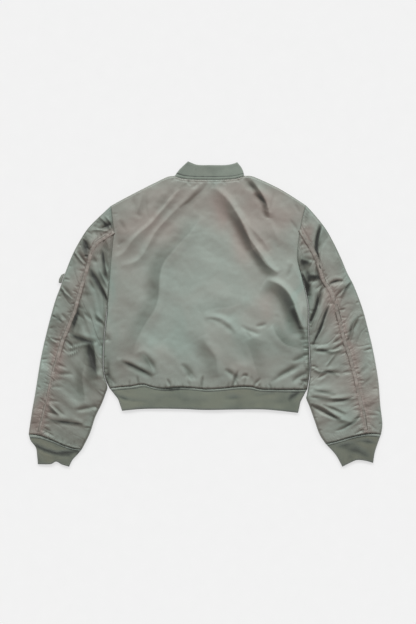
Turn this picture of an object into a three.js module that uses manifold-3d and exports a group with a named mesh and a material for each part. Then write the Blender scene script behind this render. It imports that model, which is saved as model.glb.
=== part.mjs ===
// A waist-length padded flight jacket, laid flat on its front with its back up.
// Millimetres: X across the shoulders, Y from the hem up to the collar, Z up off the table.
// Left and right are the wearer's: the back is up, so left lies at negative X.
import * as THREE from "three";
import { mergeVertices } from "three/addons/utils/BufferGeometryUtils.js";
import Module from "manifold-3d";

const wasm = await Module();
wasm.setup();

// Heights of the two layers, which lie on each other
const MIDDLE = 7.5; // level of the plane between the layers
const LAYER_GAP = 0.5; // from that plane to the cloth above and below it
const PADDED_WALL = 8; // shell, wadding and lining
const THINNEST_WALL = 1.4;
const BACK_TOP = 14.6; // outer face of the back near its edges
const BACK_CROWN = 2.6; // more height over the middle of the back
const BACK_CROWN_REACH = 90; // from the side to where the crown is full
const SLEEVE_TOP = 14.8;
const SLEEVE_CROWN = 3;
const SLEEVE_CROWN_REACH = 60;
const SEAM_GAP = 0.3; // between two pieces at a seam

// Rib knit
const RIB_WALL = 3.8; // folded double
const WAISTBAND_TOP = 11.4;
const CUFF_TOP = 10.8;
const COLLAR_TOP = 12.6;
const COLLAR_BOTTOM = 2.6;

// The front zip
const FRONT_CENTRE = 9.6; // X of the closed zip
const FRONT_GAP = 15; // between the two fronts
const FRONT_NECK_DROP = 78; // from the shoulders' neck points down to the top of the zip
const COLLAR_FRONT_DEPTH = 40;
const TAPE_THICKNESS = 1.2;
const CHAIN_WIDTH = 5;
const CHAIN_THICKNESS = 2.6;
const ZIP_LEVEL = 5.4; // middle of the tapes and the chain
const ZIP_TOP_Y = 251.5;

const SHELL = { color: 0x8a9187, roughness: 0.5, metalness: 0 };
const RIB = { color: 0x6d7767, roughness: 0.95, metalness: 0 };
const TAPE = { color: 0x5f6858, roughness: 0.9, metalness: 0 };
const METAL = { color: 0x8f8b80, roughness: 0.4, metalness: 1 };

// Outlines seen from above, as [x, y] rows in millimetres
const SHOULDER_LEFT = [[-227, 259], [-200, 274], [-148, 301], [-116, 317], [-90, 329], [-74, 331]];
const SHOULDER_RIGHT = [[93, 331], [112, 330], [143, 317], [174, 302], [198, 288], [220, 274], [241, 260]];
const NECK = [[-74, 331], [-56, 325], [-25, 322.5], [10, 322], [46, 322.5], [74, 325], [93, 331]];
const ARMHOLE_LEFT_UPPER = [[-227, 259], [-223, 226], [-219, 197]];
const ARMHOLE_LEFT_LOWER = [[-219, 197], [-223, 160], [-228, 106], [-232, 50], [-236, 8]];
const SIDE_LEFT = [[-236, 8], [-242, -50], [-245, -110], [-241, -152], [-230, -178]];
const ARMHOLE_RIGHT_UPPER = [[241, 260], [233, 233], [227, 202]];
const ARMHOLE_RIGHT_LOWER = [[227, 202], [222, 166], [220, 134], [225, 110], [232, 86]];
const SIDE_RIGHT = [
  [232, 86], [238, 62], [243, 38], [247, 8], [247, -40], [249, -100], [250, -140], [244, -180],
];
const WAIST = [
  [-230, -178], [-205, -175], [-174, -172], [-150, -168], [-128, -174], [-102, -178], [-61, -175], [-30, -177],
  [4, -180], [40, -178], [78, -174], [107, -174], [136, -180], [179, -181], [215, -181], [244, -180],
];
const HEM = [
  [-200, -232], [-157, -228], [-109, -227], [-49, -228], [0, -230], [71, -229], [143, -229], [222, -237],
];
const HEM_SIDE_LEFT = [[-230, -178], [-219, -192], [-210, -204], [-205, -218], [-200, -232]];
const HEM_SIDE_RIGHT = [[244, -180], [235, -197], [228, -211], [225, -224], [222, -237]];
const COLLAR_EDGE = [[-42, 366], [-25, 359], [-12, 357], [10, 357], [46, 357], [66, 360], [76, 364]];
const COLLAR_SIDE_LEFT = [[-74, 331], [-62, 347], [-42, 366]];
const COLLAR_SIDE_RIGHT = [[93, 331], [88, 348], [76, 364]];

const SLEEVE_LEFT = {
  outerEdge: [
    [-227, 259], [-258, 230], [-282, 205], [-301, 176], [-318, 144], [-335, 102], [-349, 62], [-362, 26],
    [-380, -41], [-395, -108], [-407, -182], [-417, -240], [-424, -288],
  ],
  seam: [
    [-219, 197], [-244, 181], [-263, 166], [-275, 142], [-282, 112], [-295, 70], [-305, 34], [-313, 5],
    [-326, -26], [-341, -62], [-353, -101], [-365, -144], [-374, -185], [-384, -228], [-392, -264],
    [-398, -290],
  ],
  underEdge: [
    [-237.5, 6], [-244.5, -50], [-248, -110], [-244.5, -150], [-236, -176], [-239, -190], [-249, -216],
    [-264, -247], [-277, -286], [-296, -324],
  ],
  armholeOuter: ARMHOLE_LEFT_UPPER,
  armholeUnder: [...ARMHOLE_LEFT_LOWER.slice(0, -1), [-237.5, 6]],
  wristOuter: [[-424, -288], [-410, -288.5], [-398, -290]],
  wristUnder: [[-398, -290], [-373, -299], [-344, -312], [-320, -320], [-296, -324]],
};
const SLEEVE_RIGHT = {
  outerEdge: [
    [241, 260], [260, 240], [287, 206], [306, 173], [324, 136], [340, 98], [356, 67], [376, 14], [390, -38],
    [402, -89], [414, -158], [419, -218], [424, -262], [421, -288],
  ],
  seam: [
    [227, 202], [237, 184], [249, 163], [262, 138], [272, 112], [282, 81], [298, 55], [310, 22], [320, -14],
    [332, -62], [346, -103], [356, -144], [366, -187], [374, -226], [380, -256], [385, -286],
  ],
  underEdge: [
    [233.5, 87], [248, 68], [252, 36], [250.5, 8], [251, -40], [253, -95], [254.5, -136], [252, -170],
    [243, -193], [241.5, -203], [250, -224], [260, -252], [273, -288], [287, -310],
  ],
  armholeOuter: ARMHOLE_RIGHT_UPPER,
  armholeUnder: [...ARMHOLE_RIGHT_LOWER.slice(0, -1), [233.5, 87]],
  wristOuter: [[421, -288], [403, -286], [385, -286]],
  wristUnder: [[385, -286], [352, -293], [318, -303], [287, -310]],
};

// The cuffs start at the wrist seams and taper to their free edges.
const CUFF_LEFT = {
  edgeFar: [[-402, -360], [-372, -360], [-358, -354], [-344, -361], [-327, -366]],
  startSide: [[-424, -288], [-412, -316], [-405, -336], [-402, -360]],
  endSide: [[-296, -324], [-307, -337], [-319, -350], [-327, -366]],
};
const CUFF_RIGHT = {
  edgeFar: [[402, -357], [384, -352], [364, -350], [348, -356], [328, -366]],
  startSide: [[421, -288], [413, -310], [406, -332], [402, -357]],
  endSide: [[287, -310], [306, -330], [317, -345], [328, -366]],
};

// The largest folds: a trough (rise below zero) or a ridge from one point to another
// columns: start x, start y, end x, end y, sideways bow, half width, rise
const BACK_FOLDS = [
  [-54, 312, -121, 262, -6, 13, -2.0],
  [-32, 305, -205, 122, -13, 13, -2.6],
  [-18, 312, -181, 120, 0, 14, 1.6],
  [-18, 245, -128, 125, -10, 22, -2.4],
  [-128, 125, -176, -74, -2, 20, -2.2],
  [23, 288, 121, 118, 10, 15, -2.2],
  [121, 154, 169, 101, -11, 12, -2.4],
  [95, 322, 148, 221, 10, 12, -2.4],
  [155, 72, 246, -77, 6, 17, -3.8],
  [196, -50, 222, -82, 0, 13, -1.4],
  [239, -125, 160, -158, -1, 13, -2.0],
  [-212, -115, -128, -154, 2, 13, -2.4],
  [-155, -91, -104, -163, 3, 13, -2.4],
  [114, -91, 131, -158, 2, 12, -1.4],
];
const SLEEVE_LEFT_FOLDS = [
  [-296, 180, -277, 137, 3, 13, -2.2],
  [-277, 115, -234, 29, 2, 13, -3.4],
  [-244, 149, -229, 101, -3, 12, -2.6],
  [-344, 67, -318, 36, 0, 12, -1.8],
  [-323, -50, -296, 10, 2, 12, -2.2],
  [-325, -46, -265, -67, 0, 13, -3.0],
  [-292, -74, -258, -146, 3, 13, -2.8],
  [-359, -144, -318, -142, 0, 12, -1.8],
  [-373, -214, -335, -240, -2, 12, -2.0],
  [-368, -252, -294, -264, 1, 13, -2.8],
  [-313, -233, -258, -223, 3, 12, -2.4],
];
const SLEEVE_RIGHT_FOLDS = [
  [277, 214, 275, 118, -7, 12, -3.0],
  [280, 67, 253, -19, 4, 13, -3.2],
  [296, 22, 258, -77, 2, 13, -3.2],
  [352, 77, 304, 34, 0, 12, -2.0],
  [368, -5, 344, -67, -1, 12, -2.0],
  [260, -89, 328, -84, -1, 12, -2.2],
  [270, -134, 335, -146, 1, 12, -2.0],
  [258, -178, 311, -190, 0, 12, -2.0],
  [299, -209, 356, -199, -4, 12, -1.8],
  [251, -216, 342, -254, -4, 13, -2.8],
  [371, -242, 311, -281, 7, 13, -2.4],
];

// Small helpers

const between = (start, end, share) => start + (end - start) * share;

const steps = (count) => Array.from({ length: count + 1 }, (_, i) => i / count);

const smooth = THREE.MathUtils.smoothstep;

const distance = ([ax, ay], [bx, by]) => Math.hypot(bx - ax, by - ay);

// A smooth line through [x, y] rows, read by the share of its length.
function line(rows) {
  const spline = new THREE.SplineCurve(rows.map(([x, y]) => new THREE.Vector2(x, y)));
  return (share) => {
    const { x, y } = spline.getPointAt(share);
    return [x, y];
  };
}

const reversed = (curve) => (share) => curve(1 - share);

// Curves end to end, each [share of the whole, curve].
function chain(...links) {
  return (share) => {
    let rest = share;
    for (const [part, curve] of links) {
      if (rest <= part) return curve(rest / part);
      rest -= part;
    }
    return links.at(-1)[1](1);
  };
}

// A patch in plan between four edges: near and far run with u, start and end run with v.
function patch({ near, far, start, end }) {
  const corners = [near(0), near(1), far(0), far(1)];
  return (u, v) => {
    const [n, f, s, e] = [near(u), far(u), start(v), end(v)];
    return [0, 1].map((axis) => {
      const [nearStart, nearEnd, farStart, farEnd] = corners.map((corner) => corner[axis]);
      const cornersMixed = between(between(nearStart, nearEnd, u), between(farStart, farEnd, u), v);
      return between(n[axis], f[axis], v) + between(s[axis], e[axis], u) - cornersMixed;
    });
  };
}

// Keeps a share of a patch clear of the seams at its ends, by half the seam gap or more at a slant.
function clearOfSeam(share, length, slant = 1) {
  const margin = (SEAM_GAP / 2 / length) * slant;
  return Math.min(Math.max(share, margin), 1 - margin);
}

// The share at which a curve that runs in X comes to the given X.
function shareAtX(curve, x) {
  const rising = curve(1)[0] > curve(0)[0];
  let [low, high] = [0, 1];
  for (let i = 0; i < 30; i += 1) {
    const middle = (low + high) / 2;
    if (curve(middle)[0] < x === rising) low = middle;
    else high = middle;
  }
  return (low + high) / 2;
}

// The height that the folds add at a point.
function foldHeight(folds, x, y) {
  let height = 0;
  for (const [x0, y0, x1, y1, bow, halfWidth, rise] of folds) {
    const length = Math.hypot(x1 - x0, y1 - y0);
    const [alongX, alongY] = [(x1 - x0) / length, (y1 - y0) / length];
    const share = ((x - x0) * alongX + (y - y0) * alongY) / length;
    if (share <= 0 || share >= 1) continue;
    const aside = (y - y0) * alongX - (x - x0) * alongY - bow * 4 * share * (1 - share);
    const fade = Math.sqrt(Math.sin(Math.PI * share));
    height += rise * fade * Math.exp(-((aside / halfWidth) ** 2));
  }
  return height;
}

// How far a face has risen from its edge's own level, over a round shoulder of the given radius.
function shoulder(away, radius, level) {
  const share = Math.min(Math.max(away / radius, 0), 1);
  return level + (1 - level) * Math.sqrt(1 - (1 - share) ** 2);
}

// The slow crown of padding from a free edge to the middle of a piece.
const crown = (away, reach) => 1 - (1 - Math.min(away / reach, 1)) ** 2;

// One closed wall from matching rows of outer and inner points.
// A closed one joins its last column to its first.
function wall(outer, inner, closed = false) {
  const rows = outer.length;
  const columns = outer[0].length;
  const at = (i, j, side) => (side * rows + i) * columns + (j % columns);
  const index = [];
  const quad = (a, b, c, d) => index.push(a, b, c, a, c, d);
  const spans = closed ? columns : columns - 1;
  for (let j = 0; j < spans; j += 1) {
    for (let i = 0; i < rows - 1; i += 1) {
      quad(at(i, j, 0), at(i, j + 1, 0), at(i + 1, j + 1, 0), at(i + 1, j, 0));
      quad(at(i, j, 1), at(i + 1, j, 1), at(i + 1, j + 1, 1), at(i, j + 1, 1));
    }
    quad(at(0, j, 0), at(0, j, 1), at(0, j + 1, 1), at(0, j + 1, 0));
    quad(at(rows - 1, j, 0), at(rows - 1, j + 1, 0), at(rows - 1, j + 1, 1), at(rows - 1, j, 1));
  }
  for (let i = 0; i < rows - 1 && !closed; i += 1) {
    quad(at(i, 0, 0), at(i + 1, 0, 0), at(i + 1, 0, 1), at(i, 0, 1));
    quad(at(i, spans, 0), at(i, spans, 1), at(i + 1, spans, 1), at(i + 1, spans, 0));
  }
  const geometry = new THREE.BufferGeometry();
  const points = [...outer.flat(), ...inner.flat()].flat();
  geometry.setAttribute("position", new THREE.Float32BufferAttribute(points, 3));
  geometry.setIndex(index);
  return facingOut(geometry);
}

// Turns the faces round where they enclose a negative volume.
function facingOut(geometry) {
  const points = geometry.getAttribute("position");
  const index = geometry.index.array;
  const corner = [new THREE.Vector3(), new THREE.Vector3(), new THREE.Vector3()];
  let volume = 0;
  for (let i = 0; i < index.length; i += 3) {
    corner.forEach((point, k) => point.fromBufferAttribute(points, index[i + k]));
    volume += corner[0].dot(corner[1].cross(corner[2]));
  }
  if (volume < 0) geometry.setIndex(Array.from(index).reverse());
  return geometry;
}

function named(name, geometry, finish) {
  geometry.computeVertexNormals();
  const mesh = new THREE.Mesh(geometry, new THREE.MeshStandardMaterial(finish));
  mesh.name = name;
  return mesh;
}

// Body panels

const EDGE_STEPS = [0, 0.007, 0.024]; // shares of a panel's width where its edges round off
const FIELD_INSET = 0.06; // from a panel's edge to the first of its evenly spaced rows and columns
const SEAM_LEVEL = 0.62; // height of a seamed edge, as a share of the full height
const FREE_LEVEL = 0.12;
const EDGE_RADIUS = 9;
const SIDE_SHARE = 0.42; // of the way up the side, from the waist to the underarm
const ARMHOLE_SHARE = 0.42; // from the underarm to the sleeve's back seam
const SHOULDER_SHARE = 1 / 3; // of the width of the back
const FRONT_SHOULDER_SHARE = 0.62; // of the width of a front
const LEVEL_BLEND = 0.02; // share of an edge over which it goes from free to seamed
const ZIP_CLEAR = 0.01; // least share of the width between a column and the zip

// The columns of the back, which the waistband and the fronts share
const ACROSS = [
  ...EDGE_STEPS,
  ...steps(24).map((t) => between(FIELD_INSET, 1 - FIELD_INSET, t)),
  ...fromOne(EDGE_STEPS),
];
const UP = [
  ...EDGE_STEPS,
  ...steps(7).map((t) => between(FIELD_INSET, SIDE_SHARE, t)),
  ...steps(10).slice(1).map((t) => between(SIDE_SHARE, SIDE_SHARE + ARMHOLE_SHARE, t)),
  ...steps(3).slice(1).map((t) => between(SIDE_SHARE + ARMHOLE_SHARE, 1 - FIELD_INSET, t)),
  ...fromOne(EDGE_STEPS),
];

function fromOne(shares) {
  return shares.map((share) => 1 - share).reverse();
}

const SIDE_UP_LEFT = chain(
  [SIDE_SHARE, reversed(line(SIDE_LEFT))],
  [ARMHOLE_SHARE, reversed(line(ARMHOLE_LEFT_LOWER))],
  [1 - SIDE_SHARE - ARMHOLE_SHARE, reversed(line(ARMHOLE_LEFT_UPPER))],
);
const SIDE_UP_RIGHT = chain(
  [SIDE_SHARE, reversed(line(SIDE_RIGHT))],
  [ARMHOLE_SHARE, reversed(line(ARMHOLE_RIGHT_LOWER))],
  [1 - SIDE_SHARE - ARMHOLE_SHARE, reversed(line(ARMHOLE_RIGHT_UPPER))],
);

// The level of the back's side edges: free below the underarm, seamed to the sleeve above it.
function sideLevel(v) {
  const seamed = smooth(v, SIDE_SHARE - LEVEL_BLEND, SIDE_SHARE + LEVEL_BLEND);
  return between(FREE_LEVEL, SEAM_LEVEL, seamed);
}

// The level of the back's top edge: free along the shoulders, seamed to the collar between them.
function topLevel(u) {
  const inNeck = Math.min(u - SHOULDER_SHARE, 1 - SHOULDER_SHARE - u);
  return between(FREE_LEVEL, SEAM_LEVEL, smooth(inNeck, -LEVEL_BLEND / 2, LEVEL_BLEND));
}

// A body panel over its patch: faces(place) gives the outer and the inner height there.
function panel(plan, across, up, faces) {
  const outer = [];
  const inner = [];
  for (const v of up) {
    const width = distance(plan(0, v), plan(1, v));
    const places = across.map((u) => {
      const height = distance(plan(u, 0), plan(u, 1));
      const [x, y] = plan(clearOfSeam(u, width), clearOfSeam(v, height));
      return [x, y, ...faces({ x, y, u, v, width, height })];
    });
    outer.push(places.map(([x, y, outerFace]) => [x, y, outerFace]));
    inner.push(places.map(([x, y, , innerFace]) => [x, y, innerFace]));
  }
  return wall(outer, inner);
}

function backPanel() {
  const middleShare = 1 - 2 * SHOULDER_SHARE;
  const plan = patch({
    near: line(WAIST),
    far: chain(
      [SHOULDER_SHARE, line(SHOULDER_LEFT)],
      [middleShare, line(NECK)],
      [SHOULDER_SHARE, line(SHOULDER_RIGHT)],
    ),
    start: SIDE_UP_LEFT,
    end: SIDE_UP_RIGHT,
  });
  const floor = MIDDLE + LAYER_GAP;
  const faces = ({ x, y, u, v, width, height }) => {
    const aside = Math.min(u, 1 - u) * width;
    const rounding =
      shoulder(aside, EDGE_RADIUS, sideLevel(v)) *
      shoulder(v * height, EDGE_RADIUS, SEAM_LEVEL) *
      shoulder((1 - v) * height, EDGE_RADIUS, topLevel(u));
    const full = BACK_TOP + BACK_CROWN * crown(aside, BACK_CROWN_REACH) + foldHeight(BACK_FOLDS, x, y);
    const top = floor + Math.max((full - floor) * rounding, THINNEST_WALL);
    return [top, Math.max(floor, top - PADDED_WALL)];
  };
  return named("back_panel", panel(plan, ACROSS, UP, faces), SHELL);
}

// One front, from its side edge at u = 0 to the zip at u = 1.
function frontPanel(name, { sideUp, shoulderLine, waistFromSide, zipX, zipShare }) {
  const zipFoot = waistFromSide(zipShare);
  const neck = frontNeck(shoulderLine(1), zipX);
  const up = UP.filter((share, i) => i % 2 === 0);
  const plan = patch({
    near: (u) => waistFromSide(u * zipShare),
    far: chain([FRONT_SHOULDER_SHARE, shoulderLine], [1 - FRONT_SHOULDER_SHARE, neck]),
    start: sideUp,
    end: (v) => [between(zipFoot[0], zipX, v), between(zipFoot[1], zipTopY(shoulderLine(1)), v)],
  });
  const ceiling = MIDDLE - LAYER_GAP;
  const faces = ({ u, v, width, height }) => {
    const sideHeight = v < SIDE_SHARE ? FREE_LEVEL : 1;
    const topHeight = u < FRONT_SHOULDER_SHARE ? FREE_LEVEL : 1;
    const rounding =
      shoulder(u * width, EDGE_RADIUS, sideHeight) * shoulder((1 - v) * height, EDGE_RADIUS, topHeight);
    return [Math.min(ceiling * (1 - rounding), ceiling - THINNEST_WALL), ceiling];
  };
  return named(name, panel(plan, frontColumns(zipShare), up, faces), SHELL);
}

// The columns of a front are the back's, as far as the zip.
function frontColumns(zipShare) {
  const columns = ACROSS.filter((share) => share < zipShare - ZIP_CLEAR);
  return [...columns.map((share) => share / zipShare), 1];
}

const zipTopY = (neckPoint) => neckPoint[1] - FRONT_NECK_DROP;

// Where the front neck's curve passes, as shares of the way across to the zip and of the way down
const NECK_CORNER = { across: 0.42, down: 0.76 };
const COLLAR_CORNER = { across: 0.4, down: 0.78 };

// The front neck seam, from the shoulder's neck point round and down to the top of the zip.
function frontNeck(neckPoint, zipX) {
  const corner = [
    between(neckPoint[0], zipX, NECK_CORNER.across),
    neckPoint[1] - FRONT_NECK_DROP * NECK_CORNER.down,
  ];
  return line([neckPoint, corner, [zipX, zipTopY(neckPoint)]]);
}

const ZIP_LEFT_X = FRONT_CENTRE - FRONT_GAP / 2;
const ZIP_RIGHT_X = FRONT_CENTRE + FRONT_GAP / 2;
const ZIP_LEFT_SHARE = shareAtX(line(WAIST), ZIP_LEFT_X);
const ZIP_RIGHT_SHARE = shareAtX(reversed(line(WAIST)), ZIP_RIGHT_X);

// Sleeves

const SLEEVE_END_STEPS = [0, 0.014]; // shares of a sleeve's length where its ends round off
const SLEEVE_INSET = 0.04;
const SLEEVE_STATIONS = [
  ...SLEEVE_END_STEPS,
  ...steps(17).map((t) => between(SLEEVE_INSET, 1 - SLEEVE_INSET, t)),
  ...fromOne(SLEEVE_END_STEPS),
];
const SLEEVE_ARMHOLE_LEVEL = 0.7; // height at the armhole, as a share of the full height
const SLEEVE_WRIST_LEVEL = 0.5;
const ROLL = 15; // the strip beside a sleeve's free edge that rolls over it
const ROLL_RADIUS = 9;
const ROLL_STEPS = [7, 2.4]; // rows in the roll, measured from the free edge
const LEAST_LIFT = 0.2; // of the outer face over the plane between the layers
const RIDGE = 4; // half width of the raised seam down the sleeve
const RIDGE_RISE = 1.1;
const FURROW = 9; // from the seam to the bottom of the furrow beside it
const FURROW_DEPTH = 1.3;
const FURROW_HALF_WIDTH = 4;
const ARMHOLE_SLANT = 6; // the sleeve leaves the armhole at a slant, so its gap is measured longer

// The raised seam with a furrow on each side.
function seamRelief(away) {
  const ridge = RIDGE_RISE * Math.exp(-((away / RIDGE) ** 4));
  const furrow = FURROW_DEPTH * Math.exp(-(((away - FURROW) / FURROW_HALF_WIDTH) ** 2));
  return ridge - furrow;
}

// Half of a sleeve: from the back seam over the free edge to the same seam on the lower layer.
function sleeveHalf({ seam, edge, armhole, wrist, folds }) {
  const plan = patch({ near: armhole, far: wrist, start: seam, end: edge });
  const outer = [];
  const inner = [];
  for (const station of SLEEVE_STATIONS) {
    const width = distance(plan(0, station), plan(1, station));
    const length = distance(plan(0, 0), plan(0, 1));
    const along = clearOfSeam(station, length, ARMHOLE_SLANT);
    const place = (away) => plan(1 - clearOfSeam(away / width, width), along);
    const field = [0.75, 0.5, 0.25].map((t) => between(ROLL, width - FURROW, t));
    const top = [width, width - RIDGE, width - FURROW, ...field];
    const roll = [ROLL, ...ROLL_STEPS, 0];
    const bottom = [...ROLL_STEPS.toReversed(), ROLL, between(ROLL, width, 0.5), width];
    const rounding =
      shoulder(station * length, EDGE_RADIUS, SLEEVE_ARMHOLE_LEVEL) *
      shoulder((1 - station) * length, EDGE_RADIUS, SLEEVE_WRIST_LEVEL);
    const outerRow = [];
    const innerRow = [];
    for (const away of [...top, ...roll]) {
      const [x, y] = away === 0 ? plan(1, along) : place(away);
      const padding = SLEEVE_CROWN * crown(away, SLEEVE_CROWN_REACH);
      const full = SLEEVE_TOP + padding + foldHeight(folds, x, y) + seamRelief(width - away);
      const lift = (full - MIDDLE) * shoulder(away, ROLL_RADIUS, 0) * rounding;
      const z = MIDDLE + Math.max(lift, away === 0 ? 0 : LEAST_LIFT);
      outerRow.push([x, y, z]);
      innerRow.push(innerPoint(place, away, Math.max(LAYER_GAP, z - MIDDLE - PADDED_WALL)));
    }
    for (const away of bottom) {
      const [x, y] = place(away);
      outerRow.push([x, y, MIDDLE * (1 - shoulder(away, ROLL_RADIUS, 0))]);
      innerRow.push(innerPoint(place, away, -LAYER_GAP));
    }
    outer.push(outerRow);
    inner.push(innerRow);
  }
  return wall(outer, inner);
}

// The inner face behind a point: it stops one wall short of the free edge, in a narrow slit.
function innerPoint(place, away, lift) {
  const inRoll = away < ROLL;
  const back = inRoll ? PADDED_WALL + (ROLL - PADDED_WALL) * (away / ROLL) ** 2 : away;
  const [x, y] = place(back);
  return [x, y, MIDDLE + lift * (inRoll ? Math.sqrt(away / ROLL) : 1)];
}

function sleeve(side, cut, folds) {
  const halves = {
    outer: {
      edge: line(cut.outerEdge),
      armhole: reversed(line(cut.armholeOuter)),
      wrist: reversed(line(cut.wristOuter)),
    },
    under: {
      edge: line(cut.underEdge),
      armhole: line(cut.armholeUnder),
      wrist: line(cut.wristUnder),
    },
  };
  const seam = line(cut.seam);
  return Object.entries(halves).map(([half, edges]) =>
    named(`sleeve_${side}_${half}`, sleeveHalf({ seam, folds, ...edges }), SHELL),
  );
}

// Rib bands

const BAND_ROLL = 7; // the strip beside a fold that rolls over it
const BAND_RADIUS = 5.6;
const BAND_ROLL_STEPS = [0.12, 0.4, 1]; // shares of it
const BAND_ROWS = [0, 0.09, 0.5, 0.91, 1];
const BAND_EDGE_RADIUS = 5;
const BAND_EDGE_LEVEL = 0.72; // height of a band's free edge, as a share of the full height
const BAND_SEAM_GAP = 0.5; // from a band to the gathered edge of the cloth it is sewn to
const WAISTBAND_INSET = 0.02; // shares of each band's width that its folds take
const CUFF_INSET = 0.13;
const CUFF_OUTER_SHARE = 0.25; // share of the cuff that the sleeve's outer half takes
const COLLAR_INSET = 0.09;
const COLLAR_FRONT_INSET = 0.12;

// Samples across one layer of a band: those in the roll at a fold, and those between the rolls.
const atFold = (plan, layer, fold) => BAND_ROLL_STEPS.map((t) => ({ plan, layer, fold, away: t * BAND_ROLL }));
const onFlat = (plan, layer, shares) => shares.map((u) => ({ plan, layer, fold: u < 0.5 ? 0 : 1, u }));

function layerAcross(plan, layer, shares) {
  return [...atFold(plan, layer, 0), ...onFlat(plan, layer, shares), ...atFold(plan, layer, 1).reverse()];
}

const foldLine = (plan, fold) => ({ plan, layer: 1, fold, away: 0 });

// A rib band pressed flat, from the samples across it. v runs from its seam to its free edge.
function ribBand({ samples, top, bottom, closed }) {
  const middle = (top + bottom) / 2;
  const outer = [];
  const inner = [];
  for (const v of BAND_ROWS) {
    const outerRow = [];
    const innerRow = [];
    for (const { plan, layer, fold, u, away } of samples) {
      const width = distance(plan(0, v), plan(1, v));
      const depth = distance(plan(0.5, 0), plan(0.5, 1));
      const along = Math.max(v, BAND_SEAM_GAP / depth);
      const fromFold = away ?? Math.abs(u - fold) * width;
      const place = (gone) => plan(Math.abs(fold - gone / width), along);
      const half = ((top - bottom) / 2) * shoulder((1 - v) * depth, BAND_EDGE_RADIUS, BAND_EDGE_LEVEL);
      const inRoll = Math.min(fromFold / BAND_ROLL, 1);
      const back = inRoll < 1 ? between(RIB_WALL, BAND_ROLL, inRoll ** 2) : fromFold;
      const open = Math.max(half - RIB_WALL, LAYER_GAP) * Math.sqrt(inRoll);
      outerRow.push([...place(fromFold), middle + layer * half * shoulder(fromFold, BAND_RADIUS, 0)]);
      innerRow.push([...place(back), middle + layer * open]);
    }
    outer.push(outerRow);
    inner.push(innerRow);
  }
  return wall(outer, inner, closed);
}

function waistband() {
  const plan = patch({
    near: line(WAIST),
    far: line(HEM),
    start: line(HEM_SIDE_LEFT),
    end: line(HEM_SIDE_RIGHT),
  });
  const leftEnd = shareAtX((u) => plan(u, 0.5), ZIP_LEFT_X);
  const rightEnd = shareAtX((u) => plan(u, 0.5), ZIP_RIGHT_X);
  const field = ACROSS.filter((u) => u > WAISTBAND_INSET && u < 1 - WAISTBAND_INSET);
  const samples = [
    ...onFlat(plan, -1, [...field.filter((u) => u < leftEnd - ZIP_CLEAR), leftEnd].reverse()),
    ...atFold(plan, -1, 0).reverse(),
    foldLine(plan, 0),
    ...layerAcross(plan, 1, field),
    foldLine(plan, 1),
    ...atFold(plan, -1, 1),
    ...onFlat(plan, -1, [rightEnd, ...field.filter((u) => u > rightEnd + ZIP_CLEAR)].reverse()),
  ];
  return named("waistband", ribBand({ samples, top: WAISTBAND_TOP, bottom: 0, closed: false }), RIB);
}

function cuff(name, { wristOuter, wristUnder }, { edgeFar, startSide, endSide }) {
  const near = chain([CUFF_OUTER_SHARE, line(wristOuter)], [1 - CUFF_OUTER_SHARE, line(wristUnder)]);
  const plan = patch({ near, far: line(edgeFar), start: line(startSide), end: line(endSide) });
  const field = steps(9).map((t) => between(CUFF_INSET, 1 - CUFF_INSET, t));
  const samples = [
    foldLine(plan, 0),
    ...layerAcross(plan, 1, field),
    foldLine(plan, 1),
    ...layerAcross(plan, -1, field).reverse(),
  ];
  return named(name, ribBand({ samples, top: CUFF_TOP, bottom: 0, closed: true }), RIB);
}

// The collar: its back part stands above the back, and its two front parts lie below, down to the zip.
function collar() {
  const back = patch({
    near: line(NECK),
    far: line(COLLAR_EDGE),
    start: line(COLLAR_SIDE_LEFT),
    end: line(COLLAR_SIDE_RIGHT),
  });
  const front = (side, zipX) => {
    const [neckPoint, edgePoint] = [side(0), side(1)];
    const topY = zipTopY(neckPoint) + COLLAR_FRONT_DEPTH;
    const corner = [
      between(edgePoint[0], zipX, COLLAR_CORNER.across),
      between(edgePoint[1], topY, COLLAR_CORNER.down),
    ];
    return patch({
      near: frontNeck(neckPoint, zipX),
      far: line([edgePoint, corner, [zipX, topY]]),
      start: side,
      end: (v) => [zipX, zipTopY(neckPoint) + COLLAR_FRONT_DEPTH * v],
    });
  };
  const left = front(line(COLLAR_SIDE_LEFT), ZIP_LEFT_X);
  const right = front(line(COLLAR_SIDE_RIGHT), ZIP_RIGHT_X);
  const lower = (plan, zipShare) =>
    frontColumns(zipShare)
      .map((share) => (share - FRONT_SHOULDER_SHARE) / (1 - FRONT_SHOULDER_SHARE))
      .filter((share) => share > COLLAR_FRONT_INSET)
      .map((u) => ({ plan, layer: -1, fold: 0, u }));
  const backShares = steps(10).map((t) => between(COLLAR_INSET, 1 - COLLAR_INSET, t));
  const samples = [
    ...lower(left, ZIP_LEFT_SHARE).reverse(),
    ...atFold(left, -1, 0).reverse(),
    foldLine(back, 0),
    ...layerAcross(back, 1, backShares),
    foldLine(back, 1),
    ...atFold(right, -1, 0),
    ...lower(right, ZIP_RIGHT_SHARE),
  ];
  return named("collar", ribBand({ samples, top: COLLAR_TOP, bottom: COLLAR_BOTTOM, closed: false }), RIB);
}

// The zip, closed, between the two fronts

const ZIP_FOOT_Y = -226;
const SLIDER = {
  halfX: 4.8, neckHalfX: 3.4, length: 12, low: 3.2, high: 7.4, topY: 250,
  shoulder: 5, corner: 1.6, mouthHalfX: 1, mouthDepth: 1.4,
};
const BAIL = { halfX: 0.8, halfY: 3.1, foot: 0.9, low: 0.4, bar: 0.7, sunk: 0.5 };
const PULL = {
  halfX: 3, length: 27, thickness: 1.1, crossbar: 1, topCorner: 0.9, tipCorner: 1.4,
  eyeHalfX: 1.5, eyeLength: 4, gripHalfX: 1, gripLow: 2.4, gripHigh: 6,
};
const PULL_TILT = 0.045; // radians: its tip rests on the table
const PULL_CLEAR = 0.85; // from the hinge line down to the bail's bar
const BAIL_Y = SLIDER.topY - SLIDER.length / 2;
const HINGE_Z = BAIL.low + BAIL.bar + PULL_CLEAR;

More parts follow.
